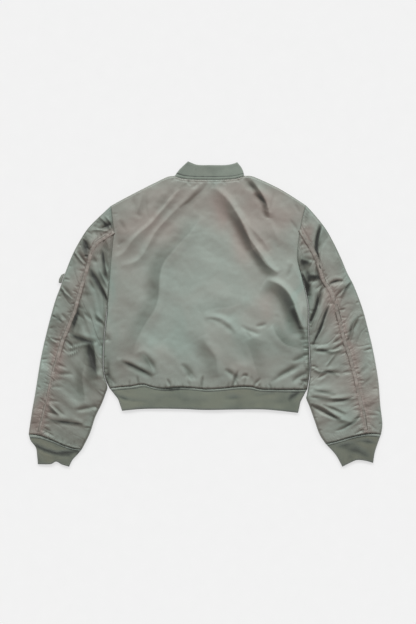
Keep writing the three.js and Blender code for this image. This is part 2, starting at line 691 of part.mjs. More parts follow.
// A prism from an outline, standing on its own Z from low to high.
function prism(outline, low, high) {
  const geometry = new THREE.ExtrudeGeometry(outline, { depth: high - low, bevelEnabled: false });
  return geometry.translate(0, 0, low);
}

const outlineOf = (rows) => new THREE.Shape(rows.map(([x, y]) => new THREE.Vector2(x, y)));

// A closed mesh as a solid that can be joined and cut.
function solidOf(geometry) {
  const bare = geometry.clone();
  bare.deleteAttribute("normal");
  bare.deleteAttribute("uv");
  const merged = mergeVertices(bare);
  return new wasm.Manifold(
    new wasm.Mesh({
      numProp: 3,
      vertProperties: merged.getAttribute("position").array,
      triVerts: new Uint32Array(merged.index.array),
    }),
  );
}

function geometryOf(solid) {
  const { vertProperties, triVerts } = solid.getMesh();
  const geometry = new THREE.BufferGeometry();
  geometry.setAttribute("position", new THREE.Float32BufferAttribute(vertProperties, 3));
  geometry.setIndex(Array.from(triVerts));
  return geometry;
}

// The slider's body seen from below, wide at its shoulders, grown by a clearance.
function sliderOutline(grow) {
  const { shoulder: drop, corner, mouthHalfX, mouthDepth } = SLIDER;
  const [wide, narrow] = [SLIDER.halfX + grow, SLIDER.neckHalfX + grow];
  const [high, low] = [SLIDER.topY + grow, SLIDER.topY - SLIDER.length - grow];
  return outlineOf([
    [-narrow, low], [narrow, low], [wide, high - drop], [wide - corner, high],
    [mouthHalfX, high - mouthDepth], [-mouthHalfX, high - mouthDepth],
    [corner - wide, high], [-wide, high - drop],
  ]);
}

function zipSlider() {
  const body = solidOf(prism(sliderOutline(0), SLIDER.low, SLIDER.high));
  const [reach, lap] = [BAIL.halfY, SLIDER.low + BAIL.sunk];
  const staple = outlineOf([
    [-reach, lap], [-reach, BAIL.low], [reach, BAIL.low], [reach, lap],
    [reach - BAIL.foot, lap], [reach - BAIL.foot, BAIL.low + BAIL.bar],
    [BAIL.foot - reach, BAIL.low + BAIL.bar], [BAIL.foot - reach, lap],
  ]);
  const bail = prism(staple, -BAIL.halfX, BAIL.halfX);
  bail.rotateX(Math.PI / 2).rotateZ(Math.PI / 2).translate(0, BAIL_Y, 0);
  const geometry = geometryOf(body.add(solidOf(bail))).translate(FRONT_CENTRE, 0, 0);
  return named("zip_slider", geometry, METAL);
}

// The pull tab hangs by its crossbar from the slider's bail. Its own origin is on the hinge line.
function zipPull() {
  const { halfX, length, thickness, crossbar, topCorner, tipCorner } = PULL;
  const { eyeHalfX, eyeLength, gripHalfX, gripLow, gripHigh } = PULL;
  const top = crossbar / 2;
  const outline = outlineOf([
    [topCorner - halfX, top], [halfX - topCorner, top], [halfX, top - topCorner],
    [halfX, tipCorner - length], [halfX - tipCorner, -length],
    [tipCorner - halfX, -length], [-halfX, tipCorner - length], [-halfX, top - topCorner],
  ]);
  const eye = [
    [-eyeHalfX, -top], [-eyeHalfX, -top - eyeLength],
    [eyeHalfX, -top - eyeLength], [eyeHalfX, -top],
  ];
  const grip = [
    [-gripHalfX, gripHigh - length], [-gripHalfX, gripLow - length],
    [gripHalfX, gripLow - length], [gripHalfX, gripHigh - length],
  ];
  outline.holes.push(outlineOf(eye), outlineOf(grip));
  const pull = named("zip_pull", prism(outline, -thickness / 2, thickness / 2), METAL);
  pull.position.set(FRONT_CENTRE, BAIL_Y, HINGE_Z);
  pull.rotation.x = PULL_TILT;
  return pull;
}

// Two tapes, each notched where the slider sits, and the closed chain between them, up to the slider.
function zipTapes() {
  const inside = CHAIN_WIDTH / 2 + SEAM_GAP;
  const outside = FRONT_GAP / 2 - SEAM_GAP;
  const notch = solidOf(prism(sliderOutline(SEAM_GAP), 0, MIDDLE));
  const tape = (side, name) => {
    const width = outside - inside;
    const strip = new THREE.BoxGeometry(width, ZIP_TOP_Y - ZIP_FOOT_Y, TAPE_THICKNESS);
    strip.translate(side * (inside + width / 2), (ZIP_TOP_Y + ZIP_FOOT_Y) / 2, ZIP_LEVEL);
    const geometry = geometryOf(solidOf(strip).subtract(notch)).translate(FRONT_CENTRE, 0, 0);
    return named(name, geometry, TAPE);
  };
  const chainTop = SLIDER.topY - SLIDER.length - SEAM_GAP;
  const bar = new THREE.BoxGeometry(CHAIN_WIDTH, chainTop - ZIP_FOOT_Y, CHAIN_THICKNESS);
  bar.translate(FRONT_CENTRE, (chainTop + ZIP_FOOT_Y) / 2, ZIP_LEVEL);
  return [tape(-1, "zip_tape_left"), tape(1, "zip_tape_right"), named("zip_chain", bar, METAL)];
}

// The tab of the pocket on the left sleeve, which stands out past the sleeve's outer edge

const TAB_LOW = 5.4;
const TAB_HIGH = 9.2;
const TAB_OUTLINE = [[-337, 98], [-345.5, 94], [-351, 84], [-352, 75], [-345.6, 73.5], [-342.2, 84]];

const pocketTab = () => named("pocket_tab", prism(outlineOf(TAB_OUTLINE), TAB_LOW, TAB_HIGH), SHELL);

const jacket = new THREE.Group();
jacket.add(
  backPanel(),
  frontPanel("front_left", {
    sideUp: SIDE_UP_LEFT,
    shoulderLine: line(SHOULDER_LEFT),
    waistFromSide: line(WAIST),
    zipX: ZIP_LEFT_X,
    zipShare: ZIP_LEFT_SHARE,
  }),
  frontPanel("front_right", {
    sideUp: SIDE_UP_RIGHT,
    shoulderLine: reversed(line(SHOULDER_RIGHT)),
    waistFromSide: reversed(line(WAIST)),
    zipX: ZIP_RIGHT_X,
    zipShare: ZIP_RIGHT_SHARE,
  }),
  ...sleeve("left", SLEEVE_LEFT, SLEEVE_LEFT_FOLDS),
  ...sleeve("right", SLEEVE_RIGHT, SLEEVE_RIGHT_FOLDS),
  waistband(),
  cuff("cuff_left", SLEEVE_LEFT, CUFF_LEFT),
  cuff("cuff_right", SLEEVE_RIGHT, CUFF_RIGHT),
  collar(),
  ...zipTapes(),
  zipSlider(),
  zipPull(),
  pocketTab(),
);

export default jacket;
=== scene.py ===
# A padded flight jacket, laid flat on its front and seen from its back.
# Sizes and places are in millimetres until a point goes into a mesh, which is in metres.
# Left and right are the wearer's: the back is up, so left lies at negative X.
import math

import bmesh
import bpy
import numpy as np
from mathutils import Matrix, Vector


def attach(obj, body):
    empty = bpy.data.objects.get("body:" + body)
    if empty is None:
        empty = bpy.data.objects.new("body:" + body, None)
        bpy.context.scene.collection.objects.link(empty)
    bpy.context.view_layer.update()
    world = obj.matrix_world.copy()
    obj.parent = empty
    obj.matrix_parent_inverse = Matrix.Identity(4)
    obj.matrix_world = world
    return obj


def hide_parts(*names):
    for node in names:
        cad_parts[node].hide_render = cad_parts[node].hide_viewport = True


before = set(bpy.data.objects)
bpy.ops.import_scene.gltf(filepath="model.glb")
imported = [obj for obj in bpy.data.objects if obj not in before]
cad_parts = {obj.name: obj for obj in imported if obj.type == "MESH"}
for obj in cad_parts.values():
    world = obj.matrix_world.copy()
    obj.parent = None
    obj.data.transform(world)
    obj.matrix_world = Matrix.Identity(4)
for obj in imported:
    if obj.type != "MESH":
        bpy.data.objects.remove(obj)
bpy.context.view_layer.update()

MM = 0.001

# Heights of the two layers, which lie on each other
MIDDLE = 7.5
LAYER_GAP = 0.5
CLOTH = 1.5
GLEAM = 0.18  # painted highlight: how much lighter a crest is painted than the cloth around it, beside the painted shade of its fold
MAUVE_SHADE = 1.2  # painted shade: how fast the cloth is made more mauve as it tips down towards the hem, away from the lights
SHADE = 1.7  # painted shade: how fast the cloth is painted darker as it tips down towards the hem, away from the lights
# The most that a tip down, and a tip up towards the lights, counts for; a tip up paints the cloth a little lighter
# and greener
TIP_DOWN = 0.34
TIP_UP = 0.14
BACK_TOP = 14.6
BACK_CROWN = 2.6
BACK_CROWN_REACH = 90
SLEEVE_TOP = 14.8
SLEEVE_CROWN = 3
SLEEVE_CROWN_REACH = 60
WAISTBAND_TOP = 11.4
CUFF_TOP = 10.8
COLLAR_TOP = 12.6
COLLAR_BOTTOM = 2.6

# The front zip
FRONT_CENTRE = 9.6
FRONT_GAP = 15
FRONT_NECK_DROP = 78
COLLAR_FRONT_DEPTH = 40
ZIP_LEVEL = 5.4
ZIP_FOOT_Y = -226
ZIP_TOP_Y = 251.5
SLIDER_TOP_Y = 250
SLIDER_LENGTH = 12

# Outlines seen from above, as [x, y] rows
SHOULDER_LEFT = [[-227, 259], [-200, 274], [-148, 301], [-116, 317], [-90, 329], [-74, 331]]
SHOULDER_RIGHT = [[93, 331], [112, 330], [143, 317], [174, 302], [198, 288], [220, 274], [241, 260]]
NECK = [[-74, 331], [-56, 325], [-25, 322.5], [10, 322], [46, 322.5], [74, 325], [93, 331]]
ARMHOLE_LEFT_UPPER = [[-227, 259], [-223, 226], [-219, 197]]
ARMHOLE_LEFT_LOWER = [[-219, 197], [-223, 160], [-228, 106], [-232, 50], [-236, 8]]
SIDE_LEFT = [[-236, 8], [-242, -50], [-245, -110], [-241, -152], [-230, -178]]
ARMHOLE_RIGHT_UPPER = [[241, 260], [233, 233], [227, 202]]
ARMHOLE_RIGHT_LOWER = [[227, 202], [222, 166], [220, 134], [225, 110], [232, 86]]
SIDE_RIGHT = [[232, 86], [238, 62], [243, 38], [247, 8], [247, -40], [249, -100], [250, -140], [244, -180]]
WAIST = [
    [-230, -178], [-205, -175], [-174, -172], [-150, -168], [-128, -174], [-102, -178], [-61, -175],
    [-30, -177],
    [4, -180], [40, -178], [78, -174], [107, -174], [136, -180], [179, -181], [215, -181], [244, -180],
]
HEM = [[-200, -232], [-157, -228], [-109, -227], [-49, -228], [0, -230], [71, -229], [143, -229], [222, -237]]
HEM_SIDE_LEFT = [[-230, -178], [-219, -192], [-210, -204], [-205, -218], [-200, -232]]
HEM_SIDE_RIGHT = [[244, -180], [235, -197], [228, -211], [225, -224], [222, -237]]
COLLAR_EDGE = [[-42, 366], [-25, 359], [-12, 357], [10, 357], [46, 357], [66, 360], [76, 364]]
COLLAR_SIDE_LEFT = [[-74, 331], [-62, 347], [-42, 366]]
COLLAR_SIDE_RIGHT = [[93, 331], [88, 348], [76, 364]]

SLEEVE_LEFT = {
    "outer_edge": [
        [-227, 259], [-258, 230], [-282, 205], [-301, 176], [-318, 144], [-335, 102], [-349, 62], [-362, 26],
        [-380, -41], [-395, -108], [-407, -182], [-417, -240], [-424, -288],
    ],
    "seam": [
        [-219, 197], [-244, 181], [-263, 166], [-275, 142], [-282, 112], [-295, 70], [-305, 34], [-313, 5],
        [-326, -26], [-341, -62], [-353, -101], [-365, -144], [-374, -185], [-384, -228], [-392, -264],
        [-398, -290],
    ],
    "under_edge": [
        [-236.6, 8], [-242.6, -50], [-245.7, -110], [-242, -150], [-235, -174], [-239, -190], [-249, -216],
        [-264, -247], [-277, -286], [-296, -324],
    ],
    "armhole_outer": ARMHOLE_LEFT_UPPER,
    "armhole_under": [*ARMHOLE_LEFT_LOWER[:-1], [-236.6, 8]],
    "wrist_outer": [[-424, -288], [-410, -288.5], [-398, -290]],
    "wrist_under": [[-398, -290], [-373, -299], [-344, -312], [-320, -320], [-296, -324]],
}
SLEEVE_RIGHT = {
    "outer_edge": [
        [241, 260], [260, 240], [287, 206], [306, 173], [324, 136], [340, 98], [356, 67], [376, 14],
        [390, -38],
        [402, -89], [414, -158], [419, -218], [424, -262], [421, -288],
    ],
    "seam": [
        [227, 202], [237, 184], [249, 163], [262, 138], [272, 112], [282, 81], [298, 55], [310, 22],
        [320, -14],
        [332, -62], [346, -103], [356, -144], [366, -187], [374, -226], [380, -256], [385, -286],
    ],
    "under_edge": [
        [232.6, 86], [238.7, 62], [243.7, 38], [247.7, 8], [247.7, -40], [249.7, -100], [250.7, -140],
        [247, -170],
        [243, -193], [241.5, -203], [250, -224], [260, -252], [273, -288], [287, -310],
    ],
    "armhole_outer": ARMHOLE_RIGHT_UPPER,
    "armhole_under": [*ARMHOLE_RIGHT_LOWER[:-1], [232.6, 86]],
    "wrist_outer": [[421, -288], [403, -286], [385, -286]],
    "wrist_under": [[385, -286], [352, -293], [318, -303], [287, -310]],
}
CUFF_LEFT = {
    "edge": [[-402, -360], [-372, -360], [-358, -354], [-344, -361], [-327, -366]],
    "start": [[-424, -288], [-419, -304], [-407, -320], [-404, -338], [-402, -360]],
    "end": [[-296, -324], [-307, -337], [-319, -350], [-327, -366]],
}
CUFF_RIGHT = {
    "edge": [[402, -357], [384, -352], [364, -350], [348, -356], [328, -366]],
    "start": [[421, -288], [413, -310], [406, -332], [402, -357]],
    "end": [[287, -310], [306, -330], [317, -345], [328, -366]],
}

# Creases: a trough (rise below zero) or a ridge from one point to another
# columns: start x, start y, end x, end y, sideways bow, half width, rise
BACK_CREASES = [
    [0, 302, -62, 249, 0, 8, -2.2],
    [-40, 318, -66, 296, 2, 5, -1.2],
    [-18, 316, -34, 300, 1, 4, -1.0],
    [2, 316, -8, 298, 0, 4, -0.9],
    [20, 316, 22, 300, 0, 4, -0.8],
    [-176, 276, -158, 228, 3, 7, -1.2],
    [-206, 226, -188, 198, 0, 7, -1.4],
    [-193, 178, -210, 161, 0, 6, -1.0],
    [92, 324, 122, 286, 3, 8, -3.2],
    [118, 290, 146, 254, 3, 8, -3.4],
    [143, 262, 149, 228, 0, 6, -1.8],
    [136, 250, 160, 240, 0, 5, 1.0],
    [150, 222, 172, 160, 5, 8, 1.0],
    [0, -12, 47, -26, 5, 4, -0.9],
    [40, -20, 73, -50, 3, 5, -1.7],
    [85, -26, 131, -50, -2, 4, -1.4],
    [119, -31, 148, -24, -2, 4, -1.6],
    [96, -44, 110, -58, 0, 4, -1.0],
    [167, -2, 179, -12, 0, 5, -0.8],
    [-206, -112, -128, -152, 4, 6, -3.2],
    [-154, -90, -118, -148, 6, 7, -2.8],
    [-61, -122, -20, -158, 2, 6, -2.0],
    [-48, -128, -30, -160, 0, 5, -1.4],
    [47, -130, 82, -160, 2, 5, -2.2],
    [84, -152, 104, -152, 6, 3, -1.8],
    [108, -148, 116, -168, 0, 4, -1.4],
    [254, -88, 208, -116, 2, 6, -2.4],
    [250, -114, 172, -152, -2, 6, -1.9],
    [250, -132, 208, -166, -1, 6, -2.6],
    [226, -128, 150, -168, -2, 5, -1.4],
    [250, -152, 226, -176, 0, 5, -2.0],
    [-244, -48, -226, -66, 0, 5, -1.4],
    [-238, -140, -212, -170, 0, 5, -1.4],
    [200, 228, 224, 194, 0, 4, -0.9],
    [214, 262, 226, 240, 0, 4, -0.9],
    [-143, 293, -133, 226, -2, 4, -0.7],
    [164, 293, 150, 228, -1, 4, -0.7],
    [206, 120, 196, 84, 0, 5, -0.9],
    [232, 30, 226, -20, 2, 5, 1.2],
]
SLEEVE_LEFT_CREASES = [
    [-248, 228, -229, 206, 0, 6, -1.2],
    [-220, 228, -212, 206, 0, 5, -1],
    [-260, 204, -236, 204, 0, 6, -1.2],
    [-296, 180, -277, 137, 3, 10, -2.2],
    [-306, 151, -280, 115, 0, 7, -1.8],
    [-301, 125, -282, 110, 0, 6, -1.6],
    [-270, 142, -260, 120, 0, 6, -1.4],
    [-277, 115, -234, 29, 2, 8, -4.0],
    [-244, 149, -229, 101, -3, 8, -3.0],
    [-251, 101, -232, 70, 5, 7, -2.2],
    [-246, 168, -227, 149, 0, 7, -1.8],
    [-280, 82, -265, 58, 0, 7, -1.8],
    [-344, 67, -318, 36, 0, 7, -1.8],
    [-361, 0, -344, -19, 0, 6, -1.6],
    [-344, 2, -330, -12, 0, 6, -1.6],
    [-323, -50, -296, 10, 2, 8, -2.4],
    [-292, 2, -272, -17, 0, 6, -1.8],
    [-265, -12, -244, -24, 0, 6, -1.8],
    [-330, -42, -258, -68, -3, 8, -4.4],
    [-284, -72, -258, -146, 3, 15, -3.6],
    [-250, 206, -220, 216, 0, 9, -3.0],
    [-296, 180, -280, 140, 0, 9, -2.6],
    [-340, -79, -282, -70, 3, 6, -1.8],
    [-332, -91, -306, -82, 0, 5, -1.4],
    [-373, -55, -354, -67, 0, 5, -1.4],
    [-373, -91, -359, -101, 0, 5, -1.4],
    [-359, -144, -318, -142, 0, 6, -1.8],
    [-368, -190, -361, -202, 0, 5, -1.2],
    [-373, -214, -335, -240, -2, 8, -2.0],
    [-385, -235, -376, -254, 0, 6, -1.4],
    [-368, -252, -294, -264, 1, 9, -3.2],
    [-313, -233, -258, -223, 3, 8, -2.4],
    [-390, -271, -368, -281, 0, 5, -1.6],
    [-388, -278, -364, -293, 0, 5, -1.6],
    [-253, -74, -246, -146, 1, 7, 1.8],
]
SLEEVE_RIGHT_CREASES = [
    [277, 216, 275, 116, -7, 8, -5.4],
    [246, 245, 239, 214, 0, 9, -1.6],
    [234, 122, 253, 127, 0, 5, -1.6],
    [241, 101, 248, 89, 0, 5, -1.4],
    [244, 79, 270, 82, 0, 6, -2.4],
    [234, 158, 241, 168, 0, 5, -1.2],
    [241, 168, 256, 154, 0, 5, -1.2],
    [280, 70, 250, -26, 4, 8, -4.8],
    [296, 24, 254, -80, 2, 7, -4.4],
    [289, 43, 260, -43, 0, 7, 1.8],
    [287, 70, 318, 79, 0, 7, -1.8],
    [352, 77, 304, 34, 0, 8, -2.2],
    [318, 7, 335, 12, 0, 5, -1.4],
    [368, -5, 344, -67, -1, 7, -2.2],
    [335, -48, 349, -36, 0, 5, -1.2],
    [306, -67, 325, -62, 0, 5, -1.4],
    [325, -74, 328, -84, 0, 4, -1],
    [260, -89, 328, -84, -1, 7, -2.4],
    [287, -120, 304, -103, 0, 6, -1.4],
    [256, -125, 270, -130, 0, 5, -1.4],
    [270, -134, 335, -146, 1, 7, -2.2],
    [268, -156, 292, -144, 0, 6, -1.6],
    [258, -178, 311, -190, 0, 7, -2.2],
    [251, -197, 299, -202, 0, 6, -1.8],
    [299, -209, 356, -199, -4, 7, -2.0],
    [280, -216, 342, -240, -2, 8, -1.6],
    [249, -216, 326, -252, -2, 6, -2.8],
    [371, -242, 311, -281, 7, 6, -1.8],
    [392, -113, 366, -151, -1, 7, -0.9],
    [407, -144, 371, -178, 0, 7, -0.7],
    [419, -206, 383, -230, 0, 7, -0.8],
    [383, -242, 416, -242, 0, 5, -0.8],
    [390, -259, 412, -278, 0, 6, -0.8],
    [272, 146, 276, 64, -7, 6, -3.4],
    [298, 72, 330, 80, 0, 7, -3.0],
]
# Broad folds: a crest along a path, from which the cloth falls away by a width on either side
# columns: path, width to its left, width to its right, rise, painted shade on its left (below zero, on its right)
BACK_CRESTS = [
    [[[-40, 318], [-85, 274], [-121, 230], [-157, 190], [-193, 154], [-216, 136]], 20, 8, 1.3, 0.4],
    [[[-42, 316], [-85, 278], [-124, 234]], 8, 22, 0.8, -0.55],
    [[[-14, 316], [-37, 286], [-66, 257], [-95, 226], [-121, 194], [-140, 161], [-162, 130], [-204, 112]],
     16, 10, 1.6, 0.3],
    [[[-14, 240], [-49, 190], [-73, 158], [-97, 125], [-109, 82], [-114, 34], [-126, -2], [-140, -38],
      [-157, -74], [-166, -100]], 18, 36, 2.4, -0.85],
    [[[-150, 290], [-160, 262], [-168, 240]], 14, 12, 0.8, 0.3],
    [[[14, 302], [48, 272], [78, 234], [100, 192], [130, 148], [152, 118], [176, 96]], 12, 26, 3.0, -1.15],
    [[[70, 250], [100, 204], [116, 160], [130, 130]], 10, 18, 1.2, -0.4],
    [[[108, 324], [131, 298], [144, 272], [152, 230]], 12, 14, 2.0, -1.2],
    [[[96, 226], [126, 190], [150, 150]], 10, 12, 1.0, -0.25],
    [[[146, 84], [180, 64], [208, 36], [220, 4], [230, -44]], 10, 34, 3.4, -1.9],
    [[[120, 160], [146, 124], [172, 97]], 8, 22, 1.6, -0.9],
    [[[214, 20], [226, -20], [240, -58]], 8, 14, 2.4, -1.0],
    [[[156, -30], [191, -70], [228, -94]], 24, 16, 2.0, 1.0],
    [[[-214, -108], [-180, -120], [-150, -136], [-124, -148]], 8, 12, 1.6, -0.4],
    [[[-160, -84], [-136, -104], [-120, -146]], 16, 12, 1.8, -0.5],
    [[[-6, -5], [23, 7], [59, 12], [95, 19]], 36, 12, 1.2, 0.4],
    [[[-4, -10], [40, -14], [74, -44]], 10, 12, 1.2, -0.3],
    [[[-14, -56], [2, -84], [22, -110], [30, -150]], 16, 34, 1.6, -0.45],
    [[[92, -62], [104, -90], [112, -120], [124, -160]], 30, 12, 1.6, 0.4],
    [[[60, -40], [110, -58], [160, -66]], 12, 26, 0.6, -0.3],
    [[[-96, -60], [-84, -90], [-66, -116], [-52, -150]], 24, 16, 1.2, 0.2],
]
SLEEVE_LEFT_CRESTS = [
    [[[-280, 121], [-263, 91], [-246, 60], [-231, 27]], 8, 11, 2.4, -1.7],
    [[[-247, 156], [-240, 125], [-232, 92]], 6, 8, 1.6, -1.4],
    [[[-254, 108], [-243, 86], [-233, 62]], 5, 7, 1.2, -1.0],
    [[[-292, 36], [-301, -2], [-318, -42]], 10, 15, 1.2, -0.9],
    [[[-325, -46], [-296, -58], [-264, -70]], 10, 9, 2.0, -1.6],
    [[[-262, -64], [-259, -96], [-255, -128], [-249, -154]], 9, 28, 3.0, -1.4],
    [[[-330, -84], [-302, -76], [-272, -70]], 6, 6, 1.0, -0.7],
    [[[-330, -100], [-312, -92], [-300, -84]], 5, 5, 0.8, -0.7],
    [[[-282, -98], [-294, -160], [-288, -218]], 18, 20, 1.2, -0.5],
    [[[-382, -250], [-344, -256], [-292, -263]], 10, 8, 1.8, -1.1],
    [[[-376, -212], [-362, -226], [-347, -240]], 6, 8, 1.2, -1.1],
    [[[-306, 180], [-294, 150], [-281, 120]], 11, 7, 1.4, 1.0],
    [[[-318, 156], [-302, 134], [-287, 115]], 5, 6, 1.0, -0.9],
    [[[-348, 68], [-335, 50], [-317, 35]], 6, 8, 1.4, -1.0],
    [[[-274, 200], [-250, 200], [-230, 196]], 5, 6, 0.9, -0.7],
    [[[-256, 234], [-238, 216], [-224, 200]], 5, 6, 1.0, -0.9],
    [[[-240, 236], [-228, 218], [-222, 202]], 4, 5, 0.8, -0.8],
    [[[-366, 0], [-350, -12], [-338, -20]], 5, 6, 0.8, -0.7],
    [[[-376, -52], [-364, -62], [-354, -68]], 5, 6, 0.8, -0.7],
    [[[-262, 2], [-246, -14], [-238, -24]], 6, 7, 1.0, -0.7],
]
SLEEVE_RIGHT_CRESTS = [
    [[[281, 216], [274, 190], [272, 161], [276, 122], [281, 92]], 8, 9, 2.2, -2.2],
    [[[228, 134], [240, 130], [256, 124]], 6, 10, 1.4, -1.3],
    [[[232, 102], [240, 82], [248, 64]], 6, 9, 1.4, -1.3],
    [[[244, 92], [262, 92], [280, 88]], 6, 9, 1.4, -1.1],
    [[[272, 60], [269, 17], [256, -24]], 8, 10, 2.2, -1.4],
    [[[300, 24], [285, -12], [276, -41], [258, -74]], 7, 8, 2.0, -1.4],
    [[[348, 80], [334, 62], [322, 40]], 7, 7, 1.6, 1.1],
    [[[322, 78], [304, 72], [290, 56]], 5, 6, 1.0, -0.7],
    [[[369, -4], [354, -22], [349, -46], [340, -74]], 6, 7, 1.6, -1.1],
    [[[257, -84], [284, -83], [304, -88], [330, -81]], 8, 8, 1.6, -1.1],
    [[[286, -126], [298, -110], [312, -93]], 5, 6, 0.9, -0.6],
    [[[255, -126], [270, -137], [299, -136], [322, -149]], 7, 7, 1.4, -1.0],
    [[[258, -177], [284, -184], [313, -190]], 6, 7, 1.2, -1.0],
    [[[251, -196], [304, -202], [366, -201]], 8, 7, 1.4, -0.8],
    [[[250, -214], [284, -226], [323, -251], [354, -259]], 9, 8, 2.0, -0.7],
    [[[280, -213], [310, -224], [338, -238]], 6, 6, 1.0, -0.8],
    [[[374, -228], [368, -247], [352, -264], [318, -275]], 8, 8, 1.4, -1.0],
    [[[389, -118], [378, -130], [367, -144]], 5, 6, 0.8, -0.3],
    [[[296, 214], [312, 186], [322, 140], [334, 100]], 20, 24, 1.4, -0.35],
]
# Where the brown mauve thread shows more or, below zero, less
# columns: x, y, reach in x, reach in y, amount
BACK_MAUVE = [
    [-138, 206, 84, 76, 0.55],
    [-109, 298, 60, 30, 0.35],
    [-37, 262, 45, 50, 0.25],
    [42, 240, 34, 50, 0.65],
    [104, 160, 38, 50, 0.6],
    [160, 254, 66, 66, 0.5],
    [107, 298, 50, 30, 0.4],
    [143, 30, 26, 26, 0.25],
    [-181, -134, 60, 36, 0.15],
    [95, -122, 60, 30, 0.15],
    [-13, 10, 70, 120, -0.16],
    [222, 34, 14, 120, -0.3],
    [-226, 60, 14, 120, -0.25],
]
SLEEVE_LEFT_MAUVE = [
    [-262, 0, 22, 110, -0.3],
    [-241, 238, 20, 26, -0.3],
    [-346, 60, 16, 60, -0.1],
    [-392, -130, 16, 80, -0.35],
    [-366, -110, 20, 50, 0.45],
    [-408, -250, 24, 50, 0.5],
    [-300, -210, 60, 60, 0.12],
    [-300, 130, 60, 90, 0.14],
]
SLEEVE_RIGHT_MAUVE = [
    [252, 205, 20, 34, 0.45],
    [290, 186, 18, 50, -0.25],
    [336, 70, 16, 44, -0.25],
    [304, 14, 24, 44, 0.3],
    [402, -214, 34, 80, 0.55],
    [352, -70, 16, 90, 0.3],
    [300, -206, 60, 80, 0.12],
]
# Painted shade or, below zero, painted light, where the cloth is painted darker or lighter than its folds alone make
# it, down to near black in the slit beside the right underarm, in the same columns
BACK_SHADE = [
    [40, 110, 90, 80, -0.16],
    [52, 34, 90, 44, -0.12],
    [-4, 22, 46, 15, 0.2],
    [12, -34, 26, 16, -0.2],
    [90, -130, 18, 14, -0.22],
    [-133, -74, 28, 18, -0.16],
    [-3, -90, 14, 50, 0.1],
    [-232, -140, 10, 34, 0.7],
    [243, -120, 10, 80, 0.45],
    [170, 20, 40, 30, 0.12],
    [-190, 10, 50, 120, 0.08],
    [150, -90, 90, 60, 0.08],
]
SLEEVE_LEFT_SHADE = [
    [-238, 216, 22, 14, 0.5],
    [-286, 168, 12, 26, 0.5],
    [-240, 150, 10, 20, 0.5],
    [-240, 92, 12, 16, 0.4],
    [-306, -8, 16, 36, 0.5],
    [-340, -10, 30, 60, 0.12],
    [-300, -170, 60, 50, 0.08],
]
SLEEVE_RIGHT_SHADE = [
    [234, 122, 12, 16, 1.1],
    [250, 92, 20, 12, 1.0],
    [245, 60, 6, 24, 1.6],
    [244, 220, 9, 24, 0.3],
    [274, 86, 8, 36, 0.4],
    [254, -10, 8, 60, 0.3],
    [380, 0, 40, 160, 0.12],
]
# The fronts lie face down, so their creases only rise off the table.
FRONT_LEFT_CREASES = [
    [-60, 210, -190, 90, -8, 12, 2.2],
    [-30, 120, -150, -20, 6, 14, 1.8],
    [-225, -20, -120, -60, -4, 10, 2.2],
    [-215, -110, -90, -150, 5, 10, 2.4],
    [-60, -40, -25, -150, 3, 12, 1.4],
    [-180, 240, -130, 180, 2, 9, 1.6],
]
FRONT_RIGHT_CREASES = [
    [70, 220, 190, 110, 7, 12, 2.0],
    [40, 90, 160, -10, -6, 14, 1.8],
    [236, 30, 150, -40, 5, 11, 2.4],
    [230, -80, 110, -140, -4, 10, 2.2],
    [60, -60, 45, -160, 2, 11, 1.4],
    [195, 235, 140, 190, -2, 9, 1.6],
]


# Curves and patches in plan


class Line:
    """A smooth line through [x, y] rows, read by the share of its length."""

    SAMPLES = 60

    def __init__(self, rows):
        rows = np.array(rows, float)
        last = len(rows) - 1
        place = np.linspace(0, last, self.SAMPLES * last + 1)
        i = np.minimum(place.astype(int), last - 1)
        t = (place - i)[:, None]
        start, end = rows[i], rows[i + 1]
        leaving = (end - rows[np.maximum(i - 1, 0)]) / 2
        arriving = (rows[np.minimum(i + 2, last)] - start) / 2
        cubic = 2 * (start - end) + leaving + arriving
        square = 3 * (end - start) - 2 * leaving - arriving
        self.points = ((cubic * t + square) * t + leaving) * t + start
        lengths = np.linalg.norm(np.diff(self.points, axis=0), axis=1)
        self.shares = np.concatenate([[0], np.cumsum(lengths)]) / lengths.sum()

    def __call__(self, share):
        return np.stack([np.interp(share, self.shares, self.points[:, axis]) for axis in (0, 1)], axis=-1)


def turned(curve):
    return lambda share: curve(1 - np.asarray(share, float))


def chain(*links):
    """Curves end to end, each (share of the whole, curve)."""
    starts = np.cumsum([0] + [part for part, _ in links])

    def curve(share):
        share = np.asarray(share, float)
        found = links[-1][1](np.ones_like(share))
        for (part, link), start in reversed(list(zip(links, starts))):
            place = link(np.clip((share - start) / part, 0, 1))
            found = np.where((share <= start + part)[..., None], place, found)
        return found

    return curve


class Patch:
    """A patch in plan between four edges: near and far run with u, start and end run with v."""

    def __init__(self, near, far, start, end):
        self.edges = near, far, start, end
        self.corners = [near(0.0), near(1.0), far(0.0), far(1.0)]

    def __call__(self, u, v):
        near, far, start, end = self.edges
        near_start, near_end, far_start, far_end = self.corners
        across, along = u[..., None], v[..., None]
        below = near_start + (near_end - near_start) * across
        above = far_start + (far_end - far_start) * across
        mixed = below + (above - below) * along
        between_ends = near(u) * (1 - along) + far(u) * along
        return between_ends + start(v) * (1 - across) + end(v) * across - mixed

    def width(self, v):
        return np.linalg.norm(self(np.ones_like(v), v) - self(np.zeros_like(v), v), axis=-1)

    def height(self, u):
        return np.linalg.norm(self(u, np.ones_like(u)) - self(u, np.zeros_like(u)), axis=-1)


def share_at_x(curve, x):
    """The share at which a curve that runs in X comes to the given X."""
    shares = np.linspace(0, 1, 801)
    places = curve(shares)[:, 0]
    order = np.argsort(places)
    return float(np.interp(x, places[order], shares[order]))


# Relief: the shapes that creases, gathers and padding give a surface, in millimetres


def smoothstep(value, low, high):
    t = np.clip((value - low) / (high - low), 0, 1)
    return t * t * (3 - 2 * t)


